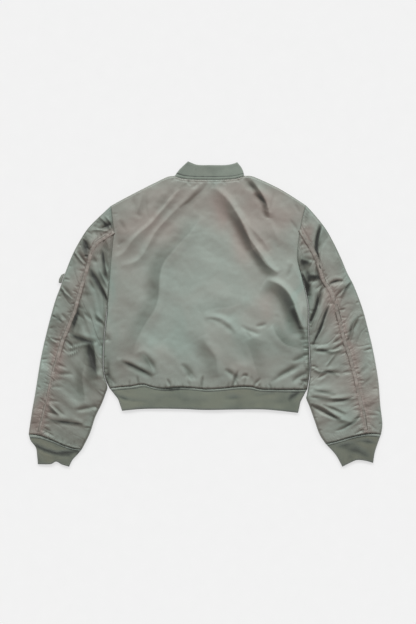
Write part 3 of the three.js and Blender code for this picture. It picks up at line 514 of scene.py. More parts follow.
def ripple(x, y, size, seed):
    """Smooth uneven ground between -1 and 1, its hills about as wide as the given size."""
    table = np.random.default_rng(seed).uniform(-1, 1, (97, 97))
    turn = 0.7 + seed
    across = (x * math.cos(turn) + y * math.sin(turn)) / size + 40.3
    along = (y * math.cos(turn) - x * math.sin(turn)) / size + 41.7
    i, j = np.floor(across).astype(int), np.floor(along).astype(int)
    s, t = across - i, along - j
    s = s * s * s * (s * (6 * s - 15) + 10)
    t = t * t * t * (t * (6 * t - 15) + 10)
    low = table[i % 97, j % 97] * (1 - s) + table[(i + 1) % 97, j % 97] * s
    high = table[i % 97, (j + 1) % 97] * (1 - s) + table[(i + 1) % 97, (j + 1) % 97] * s
    return 1.6 * (low * (1 - t) + high * t)


def shoulder(away, radius, level):
    """How far a face has risen from its edge's own level, over a round shoulder."""
    t = np.clip(away / radius, 0, 1)
    return level + (1 - level) * np.sqrt(1 - (1 - t) ** 2)


def crown(away, reach):
    return 1 - (1 - np.clip(away / reach, 0, 1)) ** 2


def creases(rows, x, y, puff=0.35):
    """The height of the creases: each a valley with a puffed shoulder on both sides, or a ridge."""
    height = np.zeros_like(x)
    for number, (x0, y0, x1, y1, bow, half_width, rise) in enumerate(rows):
        length = math.hypot(x1 - x0, y1 - y0)
        along_x, along_y = (x1 - x0) / length, (y1 - y0) / length
        share = ((x - x0) * along_x + (y - y0) * along_y) / length
        aside = (y - y0) * along_x - (x - x0) * along_y
        near = (share > 0) & (share < 1) & (np.abs(aside) < 5 * half_width + abs(bow))
        s, a = share[near], aside[near]
        waver = 0.35 * half_width * ripple(s * length, 0 * s, 34, number)
        a = a - bow * 4 * s * (1 - s) - waver
        fade = np.sin(np.pi * s) ** 0.7 * (1 + 0.3 * ripple(s * length, 0 * s, 22, number + 50))
        across = np.abs(a) / (half_width * (0.75 + 0.35 * np.sin(np.pi * s)))
        valley = np.exp(-(across**1.4))
        shoulders = puff * np.exp(-(((across - 1.9) / 1.1) ** 2))
        height[near] += rise * fade * (valley - shoulders)
    return height


def crests(rows, x, y):
    """The height of broad folds, crisp at their crests, with painted shade on the side each falls away on and a
    painted highlight beside the crest.
    """
    height, shade = np.zeros_like(x), np.zeros_like(x)
    for path, left, right, rise, dark in rows:
        line = Line(path)
        shares = np.linspace(0, 1, 61)
        spine = line(shares)
        ahead = np.gradient(spine, axis=0)
        length = np.linalg.norm(np.diff(spine, axis=0), axis=1).sum()
        ahead /= np.linalg.norm(ahead, axis=1)[:, None]
        reach = 4 * max(left, right)
        low, high = spine.min(axis=0) - reach, spine.max(axis=0) + reach
        near = (x > low[0]) & (x < high[0]) & (y > low[1]) & (y < high[1])
        points = np.column_stack([x[near], y[near]])
        nearest = np.argmin(((points[:, None, :] - spine[None]) ** 2).sum(axis=2), axis=1)
        offset = points - spine[nearest]
        along = shares[nearest] + (offset * ahead[nearest]).sum(axis=1) / length
        side = ahead[nearest, 0] * offset[:, 1] - ahead[nearest, 1] * offset[:, 0]
        side += 0.12 * (left + right) * ripple(along * length, 0 * along, 55, int(abs(path[0][0])))
        width = np.where(side > 0, left, right)
        soft = 0.15 * min(left, right)
        gone = (np.sqrt(side**2 + soft**2) - soft) / width
        profile = np.logaddexp(0, 6 * (1 - gone)) / 6
        fade = np.sin(np.pi * np.clip(along, 0, 1)) ** 0.6
        height[near] += rise * fade * profile
        # Painted shade over the falling side, from just past the crest, and a painted highlight just beside the crest
        # on the other side
        depth = side * math.copysign(1, dark) / (left if dark > 0 else right)
        falling = smoothstep(depth, -0.04, 0.14) * (1 - smoothstep(depth, 0.4, 1.3))
        shade[near] += abs(dark) * fade * (falling - GLEAM * groove(depth, -0.22, 0.2))
    return height, shade


def pucker_rows(curve, spacing, shortest, longest, towards, seed, start=0.0, end=1.0):
    """Short creases that leave a seam on one side of it, uneven in spacing, length and lean."""
    rng = np.random.default_rng(seed)
    shares = np.linspace(0, 1, 400)
    points = curve(shares)
    length = np.linalg.norm(np.diff(points, axis=0), axis=1).sum()
    ahead = np.gradient(points, axis=0)
    ahead /= np.linalg.norm(ahead, axis=1)[:, None]
    rows = []
    at = start * length + spacing * rng.uniform(0.2, 0.8)
    while at < end * length:
        i = int(at / length * 399)
        reach = shortest + (longest - shortest) * rng.uniform(0, 1) ** 2
        lean = math.radians(rng.uniform(-28, 28))
        side = towards * np.array([-ahead[i, 1], ahead[i, 0]])
        way = side * math.cos(lean) + ahead[i] * math.sin(lean)
        tip = points[i] + way * reach
        depth = -(0.5 + 0.04 * reach) * rng.uniform(0.7, 1.3)
        bow = rng.uniform(-0.1, 0.1) * reach
        rows.append([*(points[i] - way * 0.2 * reach), *tip, bow, 1.7 + 0.04 * reach, depth])
        at += spacing * rng.uniform(0.45, 1.7)
    return rows


def crumple(x, y, size, seed):
    """Random narrow creases that come and go, as in cloth that has been crushed."""
    lines = np.abs(ripple(x + 6 * ripple(x, y, 30, seed + 1), y, size, seed))
    present = smoothstep(ripple(x, y, 2.2 * size, seed + 2), -0.2, 0.6)
    return -present * np.exp(-((lines / 0.16) ** 1.3))


def gathers(along, away, pitch, reach, seed):
    """Small puckers that run away from a seam, uneven in spacing and length."""
    lean = 0.5 * away * ripple(along, 0 * along, 45, seed + 1)
    ridges = ripple(along + lean, away * 0.22, pitch, seed)
    length = reach * np.clip(0.8 + 0.8 * ripple(along, 0 * along, pitch * 2.5, seed + 2), 0.2, 2)
    return ridges * np.exp(-away / length)


def groove(away, middle, half_width):
    return np.exp(-(((away - middle) / half_width) ** 2))


# Making pieces


def piece_from(bm, name, material, body="jacket", smooth=True):
    mesh = bpy.data.meshes.new(name)
    bm.to_mesh(mesh)
    bm.free()
    mesh.polygons.foreach_set("use_smooth", [smooth] * len(mesh.polygons))
    mesh.materials.append(material)
    piece = bpy.data.objects.new(name, mesh)
    bpy.context.scene.collection.objects.link(piece)
    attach(piece, body)
    return piece


def cloth(name, across, up, place, material, thickness=CLOTH, closed=False):
    """A piece of cloth: a grid whose u and v become points by place(u, v), which also gives each point's tint."""
    bm = bmesh.new()
    bmesh.ops.create_grid(bm, x_segments=across, y_segments=up, size=0.5)
    u = np.clip(np.array([vert.co.x for vert in bm.verts]) + 0.5, 0, 1)
    v = np.clip(np.array([vert.co.y for vert in bm.verts]) + 0.5, 0, 1)
    points, tints, weave = place(u, v)
    layers = {key: bm.verts.layers.float.new(key) for key in tints}
    for vert, point in zip(bm.verts, points * MM):
        vert.co = point
    for key, values in tints.items():
        layer = layers[key]
        for vert, value in zip(bm.verts, values):
            vert[layer] = value
    bm.verts.index_update()
    cut = [Vector(row) for row in weave * MM]
    uv = bm.loops.layers.uv.new("weave")
    for face in bm.faces:
        for loop in face.loops:
            loop[uv].uv = cut[loop.vert.index]
    if closed:
        bmesh.ops.remove_doubles(bm, verts=bm.verts, dist=1e-6)
    bm.normal_update()
    outward = sum(face.normal.z * (face.calc_center_median().z - MIDDLE * MM) * face.calc_area() for face in bm.faces)
    if outward < 0:
        bmesh.ops.reverse_faces(bm, faces=bm.faces[:])
    # Painted shade: where the cloth tips down towards the hem, away from the lights, it is painted darker and more
    # mauve; where it tips up towards them, a little lighter and greener.
    shot, shade = bm.verts.layers.float["mauve"], bm.verts.layers.float["hollow"]
    for vert in bm.verts:
        tip = min(max(-vert.normal.y, -TIP_UP), TIP_DOWN) * max(vert.normal.z, 0) ** 2
        vert[shot] = min(max(vert[shot] + MAUVE_SHADE * tip, 0), 1)
        vert[shade] = min(max(vert[shade] + SHADE * tip, 0), 2)
    piece = piece_from(bm, name, material)
    wall = piece.modifiers.new("cloth", "SOLIDIFY")
    wall.thickness = thickness * MM
    wall.offset = -1
    return piece


def stitches(name, rows, material):
    """Thread stitches along rows of points: each row (points, pitch, length, half width)."""
    bm = bmesh.new()
    for points, pitch, length, half_width in rows:
        steps = np.linalg.norm(np.diff(points, axis=0), axis=1)
        run = np.concatenate([[0], np.cumsum(steps)])
        for middle in np.arange(pitch, run[-1] - pitch / 2, pitch):
            ends = [
                Vector([np.interp(middle + side * length / 2, run, points[:, axis]) for axis in range(3)])
                for side in (-1, 1)
            ]
            lie = (ends[1] - ends[0]).normalized().to_track_quat("X", "Z").to_matrix().to_4x4()
            size = Matrix.Diagonal((length / 2 * MM, half_width * MM, half_width * MM * 0.7, 1))
            at = Matrix.Translation((ends[0] + ends[1]) / 2 * MM)
            bmesh.ops.create_uvsphere(bm, u_segments=6, v_segments=3, radius=1, matrix=at @ lie @ size)
    return piece_from(bm, name, material)


# Materials


def colour(red, green, blue):
    """A colour as it is seen, from 0 to 255, as linear light with full cover."""
    seen = [value / 255 for value in (red, green, blue)]
    return [s / 12.92 if s <= 0.04045 else ((s + 0.055) / 1.055) ** 2.4 for s in seen] + [1]


class Value:
    """A shader value. Arithmetic on it adds Math nodes."""

    def __init__(self, finish, socket):
        self.finish = finish
        self.socket = socket

    def math(self, operation, *values):
        return self.finish.node("ShaderNodeMath", {"operation": operation}, dict(enumerate(values)))

    def __add__(self, other):
        return self.math("ADD", self, other)

    def __radd__(self, other):
        return self.math("ADD", other, self)

    def __sub__(self, other):
        return self.math("SUBTRACT", self, other)

    def __rsub__(self, other):
        return self.math("SUBTRACT", other, self)

    def __mul__(self, other):
        return self.math("MULTIPLY", self, other)

    def __rmul__(self, other):
        return self.math("MULTIPLY", other, self)

    def __truediv__(self, other):
        return self.math("DIVIDE", self, other)

    def sine(self):
        return self.math("SINE", self)

    def clamped(self):
        return self.math("MINIMUM", self.math("MAXIMUM", self, 0), 1)


class Finish:
    """A material and the nodes that make it."""

    def __init__(self, name):
        self.material = bpy.data.materials.new(name)
        self.material.use_nodes = True
        self.tree = self.material.node_tree
        self.shader = self.tree.nodes["Principled BSDF"]

    def node(self, kind, settings=None, inputs=None, output=0):
        node = self.tree.nodes.new(kind)
        for key, value in (settings or {}).items():
            if key == "stops":
                self.set_stops(node.color_ramp, value)
            else:
                setattr(node, key, value)
        for key, value in (inputs or {}).items():
            if isinstance(value, Value):
                self.tree.links.new(value.socket, node.inputs[key])
            else:
                node.inputs[key].default_value = value
        return Value(self, node.outputs[output])

    def set_stops(self, ramp, stops):
        while len(ramp.elements) < len(stops):
            ramp.elements.new(0.5)
        for element, (place, shade) in zip(ramp.elements, stops):
            element.position = place
            element.color = shade

    def mix(self, share, first, second, blend="MIX"):
        settings = {"data_type": "RGBA", "blend_type": blend}
        return self.node("ShaderNodeMix", settings, {0: share, 6: first, 7: second}, output=2)

    def noise(self, where, scale, detail=2, roughness=0.5):
        inputs = {"Vector": where, "Scale": scale, "Detail": detail, "Roughness": roughness}
        return self.node("ShaderNodeTexNoise", {}, inputs)

    def place(self):
        return self.node("ShaderNodeTexCoord", output=3)

    def tint(self, name):
        return self.node("ShaderNodeAttribute", {"attribute_name": name}, output=2)

    def weave(self):
        return self.node("ShaderNodeUVMap", {"uv_map": "weave"})

    def parts(self, where):
        split = self.node("ShaderNodeSeparateXYZ", {}, {0: where})
        outputs = split.socket.node.outputs
        return [Value(self, outputs[axis]) for axis in range(3)]

    def surface(self, **sockets):
        for name, value in sockets.items():
            socket = self.shader.inputs[name.replace("_", " ")]
            if isinstance(value, Value):
                self.tree.links.new(value.socket, socket)
            else:
                socket.default_value = value

    def bump(self, height, strength, distance):
        normal = self.node("ShaderNodeBump", {}, {"Height": height, "Strength": strength,
                                                  "Distance": distance})
        self.surface(Normal=normal)


# The cloth's colours, each with a darker copy for painted shade, and near black for painted shadow in the narrowest
# hollows
SAGE = colour(134, 147, 139)
SAGE_SHADED = colour(90, 101, 92)
MAUVE = colour(144, 134, 127)
MAUVE_SHADED = colour(100, 90, 83)
SLIT_SHADOW = colour(34, 36, 32)


def satin_nylon():
    """Shot nylon twill: sage green, turning to the brown mauve of its other thread where its mauve tint is set, along
    seams and, as painted shade, on slopes tipping towards the hem; its painted shade tint darkens it to a shaded copy
    and past that to near black.
    """
    finish = Finish("satin nylon")
    where = finish.place()
    clouds = finish.noise(where, 11, 3)
    fine = finish.noise(where, 160, 2)
    mauve = (finish.tint("mauve") + (clouds - 0.5) * 0.35).clamped()
    shade = finish.tint("hollow") + (fine - 0.5) * 0.12
    hollow = shade.clamped()
    # A lit and a shaded copy of the colours, mixed by the painted shade tint, and near black for painted shadow past
    # it
    light = finish.mix(mauve, SAGE, MAUVE)
    shaded = finish.mix(mauve, SAGE_SHADED, MAUVE_SHADED)
    finish.surface(Base_Color=finish.mix((shade - 1).clamped(), finish.mix(hollow, light, shaded), SLIT_SHADOW))
    finish.surface(Metallic=0.22, Roughness=0.55 + (fine - 0.5) * 0.1)
    across, along, _ = finish.parts(finish.weave())
    twill = ((across + along) * (2 * math.pi / 0.0009)).sine() * 0.5 + finish.noise(where, 700, 1)
    from_seam = finish.tint("from_seam")
    seam_place = finish.node("ShaderNodeCombineXYZ", {}, {0: finish.tint("along_seam"),
                                                          1: from_seam * 0.2, 2: 0.0})
    puckers = finish.noise(seam_place, 260, 2) * (1 - from_seam / 0.03).clamped()
    finish.bump(twill * 0.00002 + puckers * 0.0016, 1, 1)
    finish.surface(Sheen_Weight=0.25, Sheen_Roughness=0.45, Specular_IOR_Level=0.5)
    finish.shader.inputs["Sheen Tint"].default_value = colour(196, 200, 186)
    return finish.material


def rib_knit(name, seen, browner):
    """Rib knit, here and there a browner green, with small loops on the raised ribs; its painted shade tint darkens
    it between the ribs, in its folds and at its seam lines, to a shaded copy and past that to near black.
    Where the mauve tint is set, it is the nylon edge that the shell is bound with.
    """
    finish = Finish(name)
    across, along, _ = finish.parts(finish.weave())
    loops = ((along + across * 0.4) * (2 * math.pi / 0.0016)).sine()
    fuzz = finish.noise(finish.place(), 420, 3)
    # Painted shade: the tint darkens the knit towards a shaded copy and, past 0.9, towards near black
    shade = finish.tint("hollow") * 0.8 + (fuzz - 0.5) * 0.5 + 0.1
    shaded = [value * 0.62 for value in seen[:3]] + [1]
    worn = finish.mix((finish.noise(finish.place(), 14) * 1.6 - 0.3).clamped(), seen, colour(*browner))
    knit = finish.mix(shade.clamped(), worn, shaded)
    cloth_or_knit = finish.mix(finish.tint("mauve"), knit, colour(126, 134, 126))
    finish.surface(Base_Color=finish.mix((shade - 0.9).clamped(), cloth_or_knit, SLIT_SHADOW), Roughness=0.86)
    finish.bump(loops * 0.5 + fuzz, 0.35, 0.0004)
    finish.surface(Sheen_Weight=0.35, Sheen_Roughness=0.6, Specular_IOR_Level=0.25)
    return finish.material


def woven_tape():
    finish = Finish("zip tape")
    across, along, _ = finish.parts(finish.weave())
    ribs = (across * (2 * math.pi / 0.0008)).sine() * (along * (2 * math.pi / 0.0011)).sine()
    fuzz = finish.noise(finish.place(), 500, 2)
    shade = finish.mix((0.5 + ribs * 0.3 + (fuzz - 0.5) * 0.4).clamped(), colour(78, 86, 73),
                       colour(104, 112, 97))
    finish.surface(Base_Color=shade, Roughness=0.85)
    finish.bump(ribs, 0.4, 0.0003)
    return finish.material


def thread():
    finish = Finish("thread")
    fuzz = finish.noise(finish.place(), 900, 2)
    finish.surface(Base_Color=finish.mix(fuzz, colour(84, 81, 73), colour(102, 99, 90)), Roughness=0.75)
    return finish.material


def zip_nickel():
    finish = Finish("dull nickel")
    rubbed = finish.noise(finish.place(), 300, 3)
    finish.surface(Base_Color=finish.mix(rubbed, colour(150, 147, 138), colour(186, 182, 170)))
    finish.surface(Metallic=1.0, Roughness=0.32 + (rubbed - 0.5) * 0.25)
    finish.bump(finish.noise(finish.place(), 1500, 1), 0.08, 0.0001)
    return finish.material


NYLON = satin_nylon()
KNIT_HEM = rib_knit("rib knit hem", colour(102, 110, 98), (104, 106, 92))
KNIT_COLLAR = rib_knit("rib knit collar", colour(120, 130, 120), (116, 122, 112))
KNIT_CUFF = rib_knit("rib knit cuff", colour(95, 101, 90), (98, 98, 84))
TAPE = woven_tape()
THREAD = thread()
NICKEL = zip_nickel()


# Body

SIDE_SHARE = 0.42
ARMHOLE_SHARE = 0.42
SHOULDER_SHARE = 1 / 3
FRONT_SHOULDER_SHARE = 0.62
SEAM_LEVEL = 0.62
ARMHOLE_LEVEL = 0.93
FREE_LEVEL = 0.12
RIGHT_SIDE_LEVEL = 0.45  # the right side of the body rests on the sleeve
EDGE_RADIUS = 9
FREE_RADIUS = 4.5
HEM_LEVEL = 0.74
HEM_RADIUS = 3.5
SEAM_CALM = 12  # next to an armhole the cloth lies flat over this width
WELT = 6  # from a seam to the row of stitches beside it

SIDE_UP_LEFT = chain(
    (SIDE_SHARE, turned(Line(SIDE_LEFT))),
    (ARMHOLE_SHARE, turned(Line(ARMHOLE_LEFT_LOWER))),
    (1 - SIDE_SHARE - ARMHOLE_SHARE, turned(Line(ARMHOLE_LEFT_UPPER))),
)
SIDE_UP_RIGHT = chain(
    (SIDE_SHARE, turned(Line(SIDE_RIGHT))),
    (ARMHOLE_SHARE, turned(Line(ARMHOLE_RIGHT_LOWER))),
    (1 - SIDE_SHARE - ARMHOLE_SHARE, turned(Line(ARMHOLE_RIGHT_UPPER))),
)


def back_plan():
    return Patch(
        near=Line(WAIST),
        far=chain(
            (SHOULDER_SHARE, Line(SHOULDER_LEFT)),
            (1 - 2 * SHOULDER_SHARE, Line(NECK)),
            (SHOULDER_SHARE, Line(SHOULDER_RIGHT)),
        ),
        start=SIDE_UP_LEFT,
        end=SIDE_UP_RIGHT,
    )


def soft_spots(rows, x, y):
    """The sum of the soft spots in a table: x, y, reach in x, reach in y, amount."""
    total = np.zeros_like(x)
    for middle_x, middle_y, reach_x, reach_y, amount in rows:
        total += amount * np.exp(-(((x - middle_x) / reach_x) ** 2) - ((y - middle_y) / reach_y) ** 2)
    return total


def mauve_at(rows, x, y, seed):
    """How far the brown mauve thread shows, from its table and a little uneven ground."""
    x, y = x + 16 * ripple(x, y, 50, seed), y + 16 * ripple(x, y, 60, seed + 1)
    return np.clip(0.3 + 0.1 * ripple(x, y, 60, seed + 2) + soft_spots(rows, x, y), 0, 1)


def nearest_seam(seams):
    """Tints that tell how far each point lies from the nearest seam, and how far along it, in metres."""
    away = np.array([distance for distance, _ in seams])
    along = np.array([place for _, place in seams])
    nearest = np.argmin(away, axis=0)
    points = np.arange(away.shape[1])
    return {"from_seam": away[nearest, points] * MM, "along_seam": along[nearest, points] * MM}


def trough_shade(relief):
    """Painted shade in troughs, from the relief there."""
    return np.clip(-relief / 3.2, 0, 1.6)


BACK_PUCKERS = [
    *pucker_rows(Line(WAIST), 17, 6, 44, 1, 11),
    *pucker_rows(Line(NECK), 9, 5, 18, -1, 12),
    *pucker_rows(Line(ARMHOLE_LEFT_UPPER), 24, 5, 18, 1, 13),
    *pucker_rows(Line(SIDE_RIGHT), 6, 5, 16, -1, 17, start=0.45),
    *pucker_rows(Line(SIDE_RIGHT), 14, 12, 30, -1, 19, start=0.45),
    *pucker_rows(Line(SIDE_LEFT), 34, 6, 14, 1, 18, start=0.3),
]


def back_surface(u, v):
    plan = back_plan()
    xy = plan(u, v)
    x, y = xy[:, 0], xy[:, 1]
    width, height = plan.width(v), plan.height(u)
    aside = np.minimum(u, 1 - u) * width
    from_hem, from_top = v * height, (1 - v) * height
    seamed = smoothstep(v, SIDE_SHARE - 0.02, SIDE_SHARE + 0.02)
    in_neck = smoothstep(np.minimum(u - SHOULDER_SHARE, 1 - SHOULDER_SHARE - u), -0.01, 0.02)
    free_level = np.where(u > 0.5, RIGHT_SIDE_LEVEL, FREE_LEVEL)
    side_level = free_level + (ARMHOLE_LEVEL - free_level) * seamed
    top_level = FREE_LEVEL + (SEAM_LEVEL - FREE_LEVEL) * in_neck
    rounding = (
        shoulder(aside, FREE_RADIUS, side_level)
        * shoulder(from_hem, HEM_RADIUS, HEM_LEVEL)
        * shoulder(from_top, FREE_RADIUS, top_level)
    )
    folds, shade = crests(BACK_CRESTS, x, y)
    fine = 0.65 * creases(BACK_CREASES, x, y, puff=0.15) + 0.8 * creases(BACK_PUCKERS, x, y, puff=0.15)
    relief = fine + folds
    slant, across = 0.6 * x + 0.8 * y, 0.8 * x - 0.6 * y
    relief += 0.5 * ripple(slant, 0.4 * across, 34, 1) + 0.6 * ripple(x, y, 75, 2) + 0.1 * ripple(x, y, 11, 3)
    relief += 0.1 * crumple(x, y, 60, 7)
    relief += in_neck * (0.5 * groove(from_top, WELT / 2, 2) - 0.7 * groove(from_top, WELT, 1.6))
    strip = smoothstep(-y, 50, 62) * (1 - smoothstep(-y, 168, 176)) * (u > 0.5)
    welt = 0.8 * groove(aside, 8, 4) - 0.8 * groove(aside, 14, 2) - 0.5 * groove(aside, 3, 1.6)
    relief += strip * (1 + 0.7 * ripple(y, 0 * y, 18, 9)) * welt
    floor = MIDDLE + LAYER_GAP
    raised = BACK_CROWN * crown(aside, BACK_CROWN_REACH) + relief
    full = BACK_TOP + raised * (1 - seamed * (1 - smoothstep(aside, 0, SEAM_CALM)))
    z = floor + np.maximum((full - floor) * rounding, 0.6)
    # Painted shade: the tint is darker a little near the seams, in the troughs of the fine creases, on the falling
    # side of the broad folds, along the shoulder edges where their rounding faces the lights, and at the spots of
    # BACK_SHADE; its base is darker towards the hem and the left side and lighter across a band about y = 30.
    seams = np.exp(-np.minimum(aside + 40 * (1 - seamed), from_top) / 5)
    base = 0.24 + 0.16 * smoothstep(-y, 0, 150) + 0.14 * smoothstep(-x, 120, 220) - 0.07 * groove(y, 30, 90)
    rim = 0.4 * np.exp(-from_top / 3) * (1 - in_neck)
    hollow = base + 0.9 * trough_shade(1.4 * fine) + 0.75 * shade + 0.05 * seams + rim
    hollow += soft_spots(BACK_SHADE, x + 9 * ripple(x, y, 40, 34), y + 9 * ripple(x, y, 44, 35))
    tints = {"mauve": mauve_at(BACK_MAUVE, x, y, 31), "hollow": hollow}
    side_seam = aside + 60 * (1 - np.maximum(seamed, strip)) + 20 * seamed
    tints |= nearest_seam([(from_hem + 9, x), (from_top + 8 + 60 * (1 - in_neck), x), (side_seam, y)])
    return np.column_stack([x, y, z]), tints, np.column_stack([u * 490, v * 510])


def front_neck(neck_point, zip_x):
    corner = [neck_point[0] + (zip_x - neck_point[0]) * 0.42, neck_point[1] - FRONT_NECK_DROP * 0.76]
    return Line([neck_point, corner, [zip_x, neck_point[1] - FRONT_NECK_DROP]])


ZIP_LEFT_X = FRONT_CENTRE - FRONT_GAP / 2
ZIP_RIGHT_X = FRONT_CENTRE + FRONT_GAP / 2


def front_plan(side_up, shoulder_line, waist, zip_x):
    """One front, from its side edge at u = 0 to the zip at u = 1."""
    zip_share = share_at_x(waist, zip_x)
    foot = waist(zip_share)
    neck_point = shoulder_line(1.0)
    top = np.array([zip_x, neck_point[1] - FRONT_NECK_DROP])
    return Patch(
        near=lambda u: waist(u * zip_share),
        far=chain(
            (FRONT_SHOULDER_SHARE, shoulder_line),
            (1 - FRONT_SHOULDER_SHARE, front_neck(neck_point, zip_x)),
        ),
        start=side_up,
        end=lambda v: foot + (top - foot) * np.asarray(v, float)[..., None],
    )


def front_surface(plan, rows, seed):
    def surface(u, v):
        xy = plan(u, v)
        x, y = xy[:, 0], xy[:, 1]
        width, height = plan.width(v), plan.height(u)
        aside, from_zip = u * width, (1 - u) * width
        from_hem, from_top = v * height, (1 - v) * height
        free_side = 1 - smoothstep(v, SIDE_SHARE - 0.02, SIDE_SHARE + 0.02)
        free_top = 1 - smoothstep(u, FRONT_SHOULDER_SHARE - 0.02, FRONT_SHOULDER_SHARE + 0.02)
        rounding = shoulder(aside, EDGE_RADIUS, 1 - (1 - FREE_LEVEL) * free_side) * shoulder(
            from_top, EDGE_RADIUS, 1 - (1 - FREE_LEVEL) * free_top
        )
        ceiling = MIDDLE - LAYER_GAP
        dents = np.maximum(creases(rows, x, y, puff=0.1), 0)
        dents += np.maximum(1.2 * gathers(x, from_hem, 9, 16, seed), 0)
        dents += np.maximum(0.7 * gathers(y, from_zip, 8, 8, seed + 3), 0)
        dents += np.maximum(0.7 * gathers(y, aside, 8, 10, seed + 6), 0)
        dents += 0.9 * groove(from_zip, WELT, 1.4)
        z = np.clip(ceiling * (1 - rounding) + dents, 0, ceiling - CLOTH - 0.3)
        z = np.where(ceiling * (1 - rounding) > ceiling - CLOTH - 0.3, ceiling * (1 - rounding), z)
        # Painted shade: the tint grows where the creases and gathers rise off the table
        tints = {"mauve": mauve_at(BACK_MAUVE, x, y, 31), "hollow": 0.25 + 0.6 * np.clip(dents / 2.6, 0, 1)}
        tints |= nearest_seam([(from_hem, x), (from_zip, y), (aside + 60 * free_side, y)])
        return np.column_stack([x, y, z]), tints, np.column_stack([u * 240, v * 510])

    return surface


# Sleeves

ROLL_RADIUS = 6.5
TUCKED_RADIUS = 6  # where the sleeve goes in beside the body
STRIP_HALF = 5.4  # of the raised seam down the sleeve
STRIP_RISE = 0.25
STRIP_STITCHES = 4.6  # from the middle of that seam to each row of its stitches
FURROW = 8.5
SLEEVE_SHADE = {"left": 0.6, "right": 0.44}
# Painted shade: the sleeve is darker beside the body, more so going up between these heights
SHADED_BY_BODY = {"left": (-190, -150), "right": (-30, 10)}
UNDERARM_DEPTH = {"left": 0, "right": 1}  # the right sleeve falls into a hollow beside the body
TOP_COLUMNS = 42
UNDER_COLUMNS = 16


def sleeve_surface(seam, edge, armhole, wrist, folds, seed, half, side):
    """Half a sleeve: from the back seam over the free edge to the same seam on the layer below."""
    plan = Patch(near=armhole, far=wrist, start=seam, end=edge)
    away_from_seam = (1 if half == "under" else -1) * (1 if side == "left" else -1)
    smooth_end = 0.42 if (half, side) == ("outer", "right") else 0.06
    puckers = [
        *pucker_rows(seam, 8, 8, 36 if half == "under" else 22, away_from_seam, seed + 3,
                     start=smooth_end / 2),
        *pucker_rows(edge, 24, 8, 26, -away_from_seam, seed + 4, start=smooth_end),
        *pucker_rows(armhole, 9, 8, 30, away_from_seam, seed + 5),
        *pucker_rows(wrist, 9, 6, 18, 1, seed + 6),
    ]
    rows, broad, mauve_rows, shade_rows = folds
    sharper = [[*row[:5], 0.6 * row[5], 0.7 * row[6]] for row in rows]
    radius = TUCKED_RADIUS if half == "under" else ROLL_RADIUS

    def surface(u, v):
        column = u * (TOP_COLUMNS + UNDER_COLUMNS)
        on_top = column <= TOP_COLUMNS
        share = np.where(on_top, 1 - column / TOP_COLUMNS, (column - TOP_COLUMNS) / UNDER_COLUMNS) ** 1.3
        width = plan.width(v)
        away = share * width
        length = float(plan.height(np.zeros(1))[0])
        xy = plan(1 - share, v)
        x, y = xy[:, 0], xy[:, 1]
        from_seam = width - away
        from_armhole, from_wrist = v * length, (1 - v) * length
        rounding = shoulder(from_armhole, EDGE_RADIUS, ARMHOLE_LEVEL)
        rounding = rounding * shoulder(from_wrist, HEM_RADIUS, HEM_LEVEL)
        along = v * length
        crossing, shade = crests(broad, x, y)
        fine = creases(sharper, x, y, puff=0.15)
        uneven = 0.65 * creases(puckers, x, y, puff=0.15)
        uneven += 0.5 * crumple(along, 0.4 * away, 26, seed + 30) + 0.25 * crumple(x, y, 15, seed + 34)
        fine += uneven * (1 - 0.35 * smoothstep(-y, 90, 200))
        relief = fine + crossing + 0.6 * ripple(along, 0.35 * away, 24, seed)
        relief += 0.7 * ripple(x, y, 45, seed + 1)
        relief += 0.1 * ripple(x, y, 9, seed + 2)
        relief *= 1 - 0.75 * groove(from_seam, 0, 9)
        relief -= 0.5 * groove(from_seam, FURROW, 3)
        relief -= 6 * UNDERARM_DEPTH[side] * groove(np.hypot((x - 246) / 1.0, (y - 52) / 3.2), 0, 7)
        raised = SLEEVE_CROWN * crown(away, SLEEVE_CROWN_REACH) + relief
        full = SLEEVE_TOP + raised * smoothstep(from_armhole, 0, SEAM_CALM)
        lift = np.maximum(full - MIDDLE, 2.4) * shoulder(away, radius, 0) * rounding
        dents = np.maximum(-0.5 * relief, 0) * smoothstep(away, 14, 30)
        if half == "under":
            dents = dents + 1.8 * np.exp(-((from_armhole / 10) ** 2) - (away / 12) ** 2)
        sink = np.maximum(MIDDLE * shoulder(away, ROLL_RADIUS, 0) - np.minimum(dents, 4), 0)
        z = np.where(on_top, MIDDLE + lift, MIDDLE - sink)
        beside_strip = np.exp(-from_seam / (16 if half == "outer" else 14))
        mauve = mauve_at(mauve_rows, x, y, seed + 15) + 0.6 * beside_strip
        # Painted shade: the tint has a base for each sleeve, a little more next to the armhole, more beside the body
        # on the under half, less along the outer half's free edge between y = -40 and -230, and more in the troughs
        # of the creases, on the falling side of the broad folds and at the spots of the shade table
        dark = SLEEVE_SHADE[side] + 0.05 * np.exp(-from_armhole / 6)
        if half == "under":
            dark = dark + 0.35 * np.exp(-away / 7) * smoothstep(y, *SHADED_BY_BODY[side])
        pale = np.exp(-away / 14) * smoothstep(-y, 40, 75)
        pale *= (1 - smoothstep(-y, 190, 230)) * (half == "outer")
        hollow = 0.75 * trough_shade(1.4 * fine) + 0.75 * shade + dark + soft_spots(shade_rows, x, y)
        tints = {"mauve": np.clip(mauve, 0, 1), "hollow": hollow - 0.3 * pale}
        tints |= nearest_seam([(from_seam, along), (from_armhole, away), (from_wrist, away)])
        return np.column_stack([x, y, z]), tints, np.column_stack([share * 80, v * length])

    return surface


